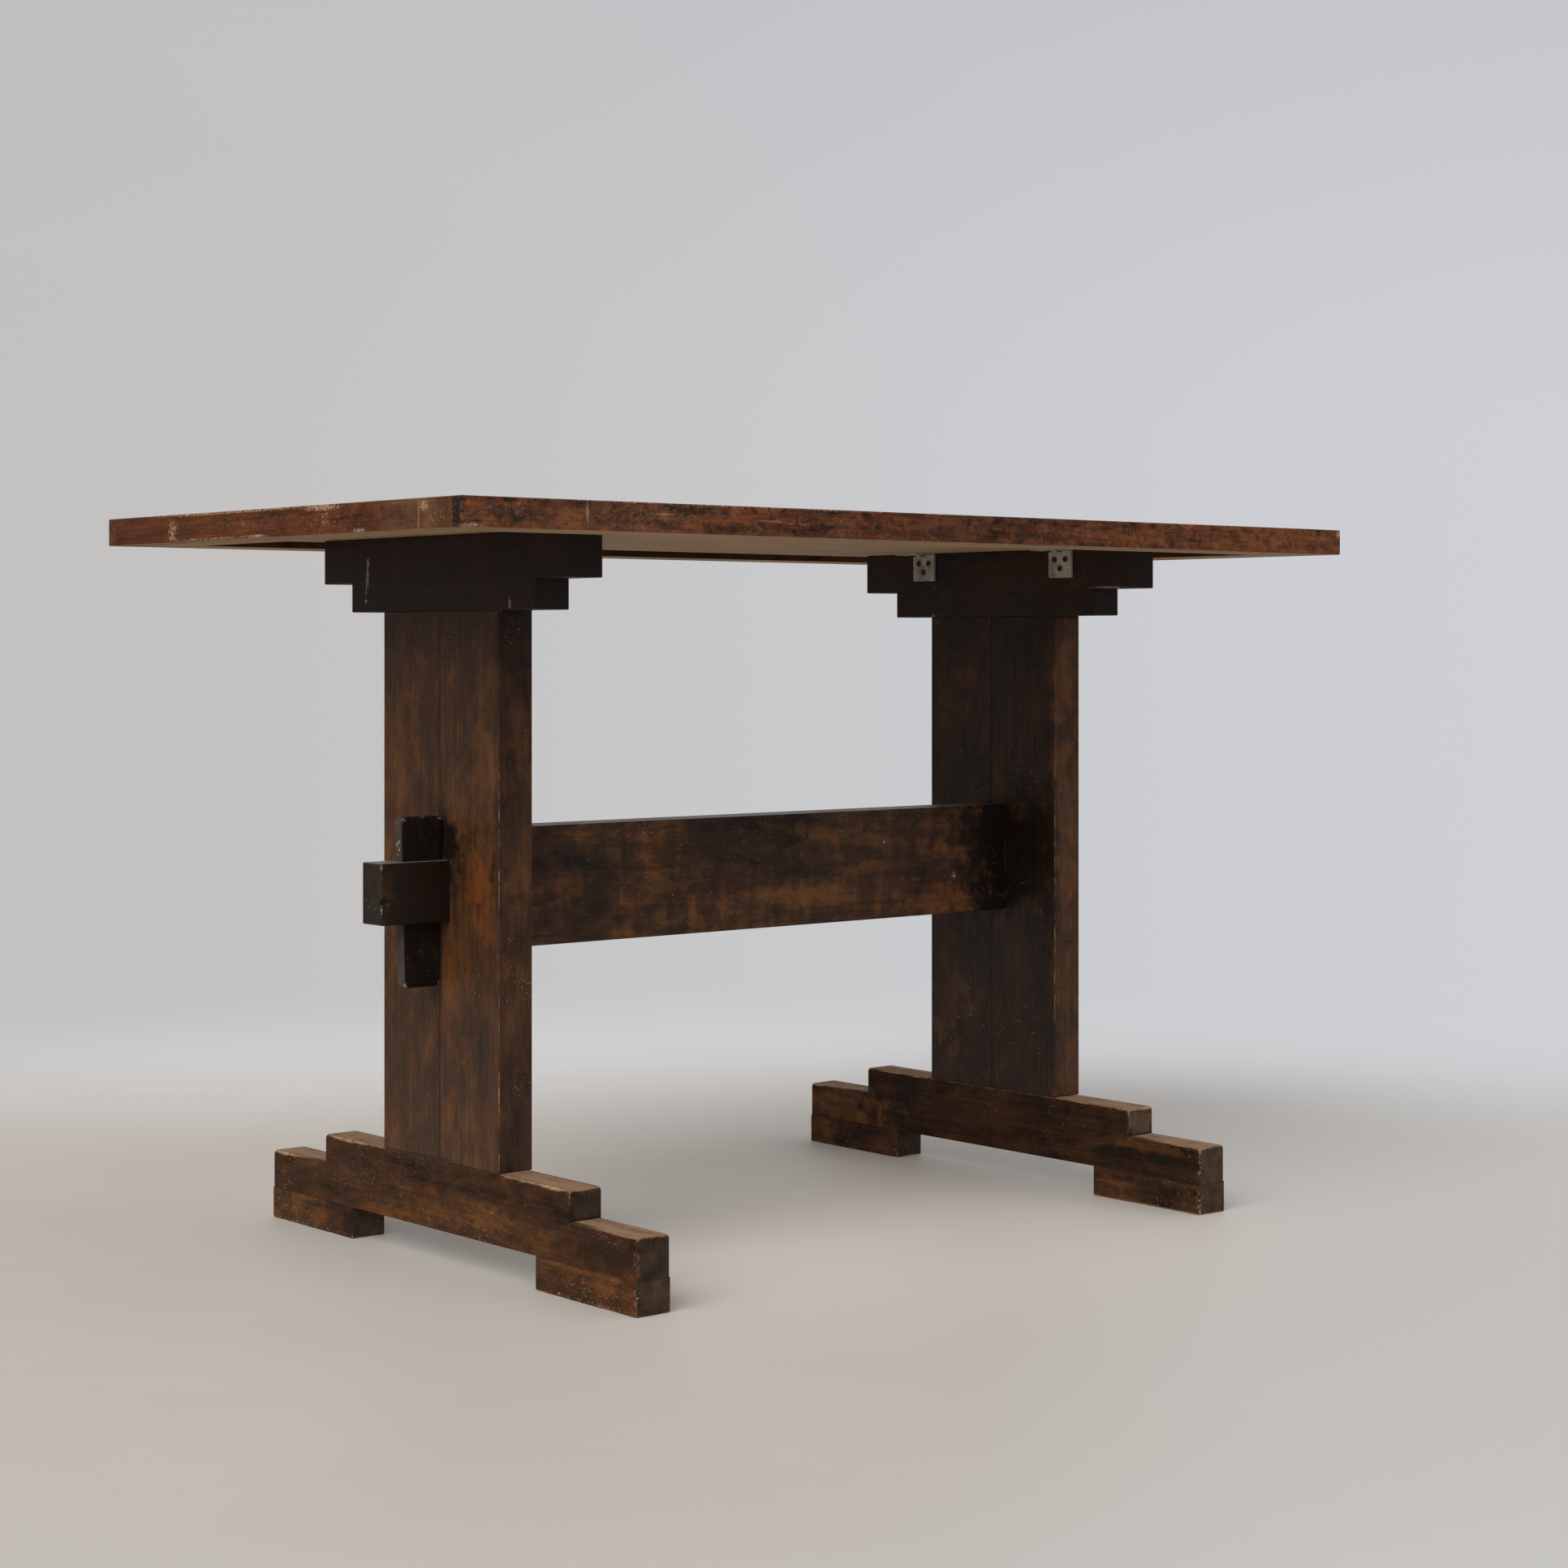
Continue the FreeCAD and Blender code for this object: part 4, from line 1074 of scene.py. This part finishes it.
class SetStudio(bpy.types.Operator):
    """Set the floor, the background, the lamps and the camera"""

    bl_idname = "trestle_table.studio"
    bl_label = "Studio"

    def execute(self, context):
        scene = context.scene
        studio = scene.trestle_studio
        painted, wall_left, wall_right = tuple(studio.floor), tuple(studio.wall), tuple(studio.wall_right)
        put_down_all()
        bpy.ops.mesh.primitive_circle_add(vertices=96, radius=30, fill_type="NGON", location=(0, 0, 0))
        floor = context.active_object
        floor.name = "studio_floor"
        f = Finish("Painted floor")
        here = f.place()
        x, y, _ = f.parts(here)
        behind = f.step(x * AHEAD[0] + y * AHEAD[1] + (f.noise(here, 0.9) - 0.5) * 0.6, 0.3, 1.5)
        cloudy = f.noise(here, 3.5, detail=5.0)
        ahead = f.vector("NORMALIZE", f.vector("SUBTRACT", here, VIEWPOINT), (0, 0, 0))
        sideways = f.vector("DOT_PRODUCT", ahead, TO_THE_RIGHT)
        far_colour = f.mix(f.step(sideways, -0.3, 0.3), wall_left, wall_right)
        darker = tuple(channel * 0.975 for channel in painted[:3]) + (1.0,)
        near = f.mix(f.step(cloudy, 0.35, 0.65), painted, darker)
        distance = f.vector("LENGTH", here, (0, 0, 0))
        near = f.mix(f.step(sideways, -0.02, 0.2), near, tuple(studio.floor_right))
        # Under the middle of the table the floor is painted lighter: a painted light that softens the table's
        # shadow.
        near = f.mix(f.step(distance, 0.15, 0.8), paint(210, 203, 194), near)
        f.feed(f.bsdf.inputs["Base Color"], f.mix(behind, near, paint(214, 213, 214)))
        f.feed(f.bsdf.inputs["Roughness"], 0.55 + (cloudy - 0.5) * 0.2)
        f.bsdf.inputs["Specular IOR Level"].default_value = 0.3
        seen = f.node("LightPath", output="Is Camera Ray")
        glow = f.node("Emission", inputs={0: far_colour, 1: seen * 0.7 + 0.3})
        painted_floor = Socket(f, f.bsdf.outputs[0])
        joined = f.node("MixShader", inputs={0: f.step(distance, 0.95, 2.3), 1: painted_floor, 2: glow})
        f.feed(f.out.inputs[0], joined)
        floor.data.materials.append(f.material)

        world = bpy.data.worlds.new("Studio air")
        scene.world = world
        world.use_nodes = True
        air = Nodes(world.node_tree)
        rays = air.node("LightPath").socket.node
        seen = Socket(air, rays.outputs["Is Camera Ray"])
        mirrored = Socket(air, rays.outputs["Is Glossy Ray"]) + Socket(air, rays.outputs["Is Transmission Ray"])
        direction = air.node("TexCoord", output="Generated")
        toward = air.vector("DOT_PRODUCT", direction, AHEAD)
        sideways = air.vector("DOT_PRODUCT", direction, TO_THE_RIGHT)
        wall = air.mix(air.step(sideways, -0.3, 0.3), wall_left, wall_right)
        wall = air.mix(air.step(air.parts(direction)[2], 0.06, 0.26) * 0.6, wall, tuple(studio.wall_top))
        wall_share = air.step(toward, 0.1, 0.75) * 0.8 + 0.2
        shown = seen + (1 - seen) * mirrored * wall_share
        backdrop = air.mix(shown, (studio.daylight,) * 3 + (1.0,), wall)
        strength = 1 - (1 - seen) * mirrored * (1 - wall_share) * 0.85
        background = air.node("Background", inputs={0: backdrop, 1: strength})
        ending = air.tree.nodes.new("ShaderNodeOutputWorld")
        air.feed(ending.inputs[0], background)

        self.lamp("Window light", (-1.0, -0.4, 0.9), 48, studio.window)
        self.lamp("Room light", (0.5, -1.0, 1.6), 75, studio.room)

        bpy.ops.object.camera_add(location=VIEWPOINT, rotation=(math.radians(90), 0, VIEW_TURN))
        camera = context.active_object
        camera.name = "Camera"
        camera.data.lens = 68.54
        camera.data.sensor_width = 36
        camera.data.shift_y = -0.08592
        camera.data.clip_end = 200
        scene.camera = camera
        scene.view_settings.view_transform = "Standard"
        return {"FINISHED"}

    @staticmethod
    def lamp(name, toward, spread, strength):
        """A broad, soft light that comes from one direction."""
        bpy.ops.object.light_add(type="SUN", location=Vector(toward) * 3)
        lamp = bpy.context.active_object
        lamp.name = name
        lamp.data.angle = math.radians(spread)
        lamp.data.energy = strength
        lamp.rotation_euler = Vector(toward).to_track_quat("Z", "Y").to_euler()


PIECES = (
    ShapeTabletopPanel, ShapeLippings, ShapeUndersideStrips, ShapeBearers, ShapePosts, ShapeFeet, ShapeRail,
    ShapeWedges, FinishFittings, SetStudio,
)


class TrestleTablePanel(bpy.types.Panel):
    """Lists the pieces of the table and its sizes and colours"""

    bl_idname = "VIEW3D_PT_trestle_table"
    bl_label = "Trestle Table"
    bl_space_type = "VIEW_3D"
    bl_region_type = "UI"
    bl_category = "Trestle Table"

    def draw(self, context):
        for piece in PIECES:
            self.layout.operator(piece.bl_idname)
        for place, _ in GROUPS:
            group = getattr(context.scene, place)
            box = self.layout.box()
            for name in group.bl_rna.properties.keys():
                if name not in ("rna_type", "name"):
                    box.prop(group, name)


GROUPS = (
    ("trestle_sizes", TrestleTableSizes), ("trestle_colours", TrestleTableColours),
    ("trestle_studio", TrestleTableStudio),
)


def register():
    for name, group in GROUPS:
        bpy.utils.register_class(group)
        setattr(bpy.types.Scene, name, bpy.props.PointerProperty(type=group))
    for made in (*PIECES, TrestleTablePanel):
        bpy.utils.register_class(made)


def unregister():
    for made in reversed((*PIECES, TrestleTablePanel)):
        bpy.utils.unregister_class(made)
    for name, group in reversed(GROUPS):
        delattr(bpy.types.Scene, name)
        bpy.utils.unregister_class(group)


def main():
    register()
    for piece in PIECES:
        group, name = piece.bl_idname.split(".")
        getattr(getattr(bpy.ops, group), name)()


if __name__ == "__main__":
    main()
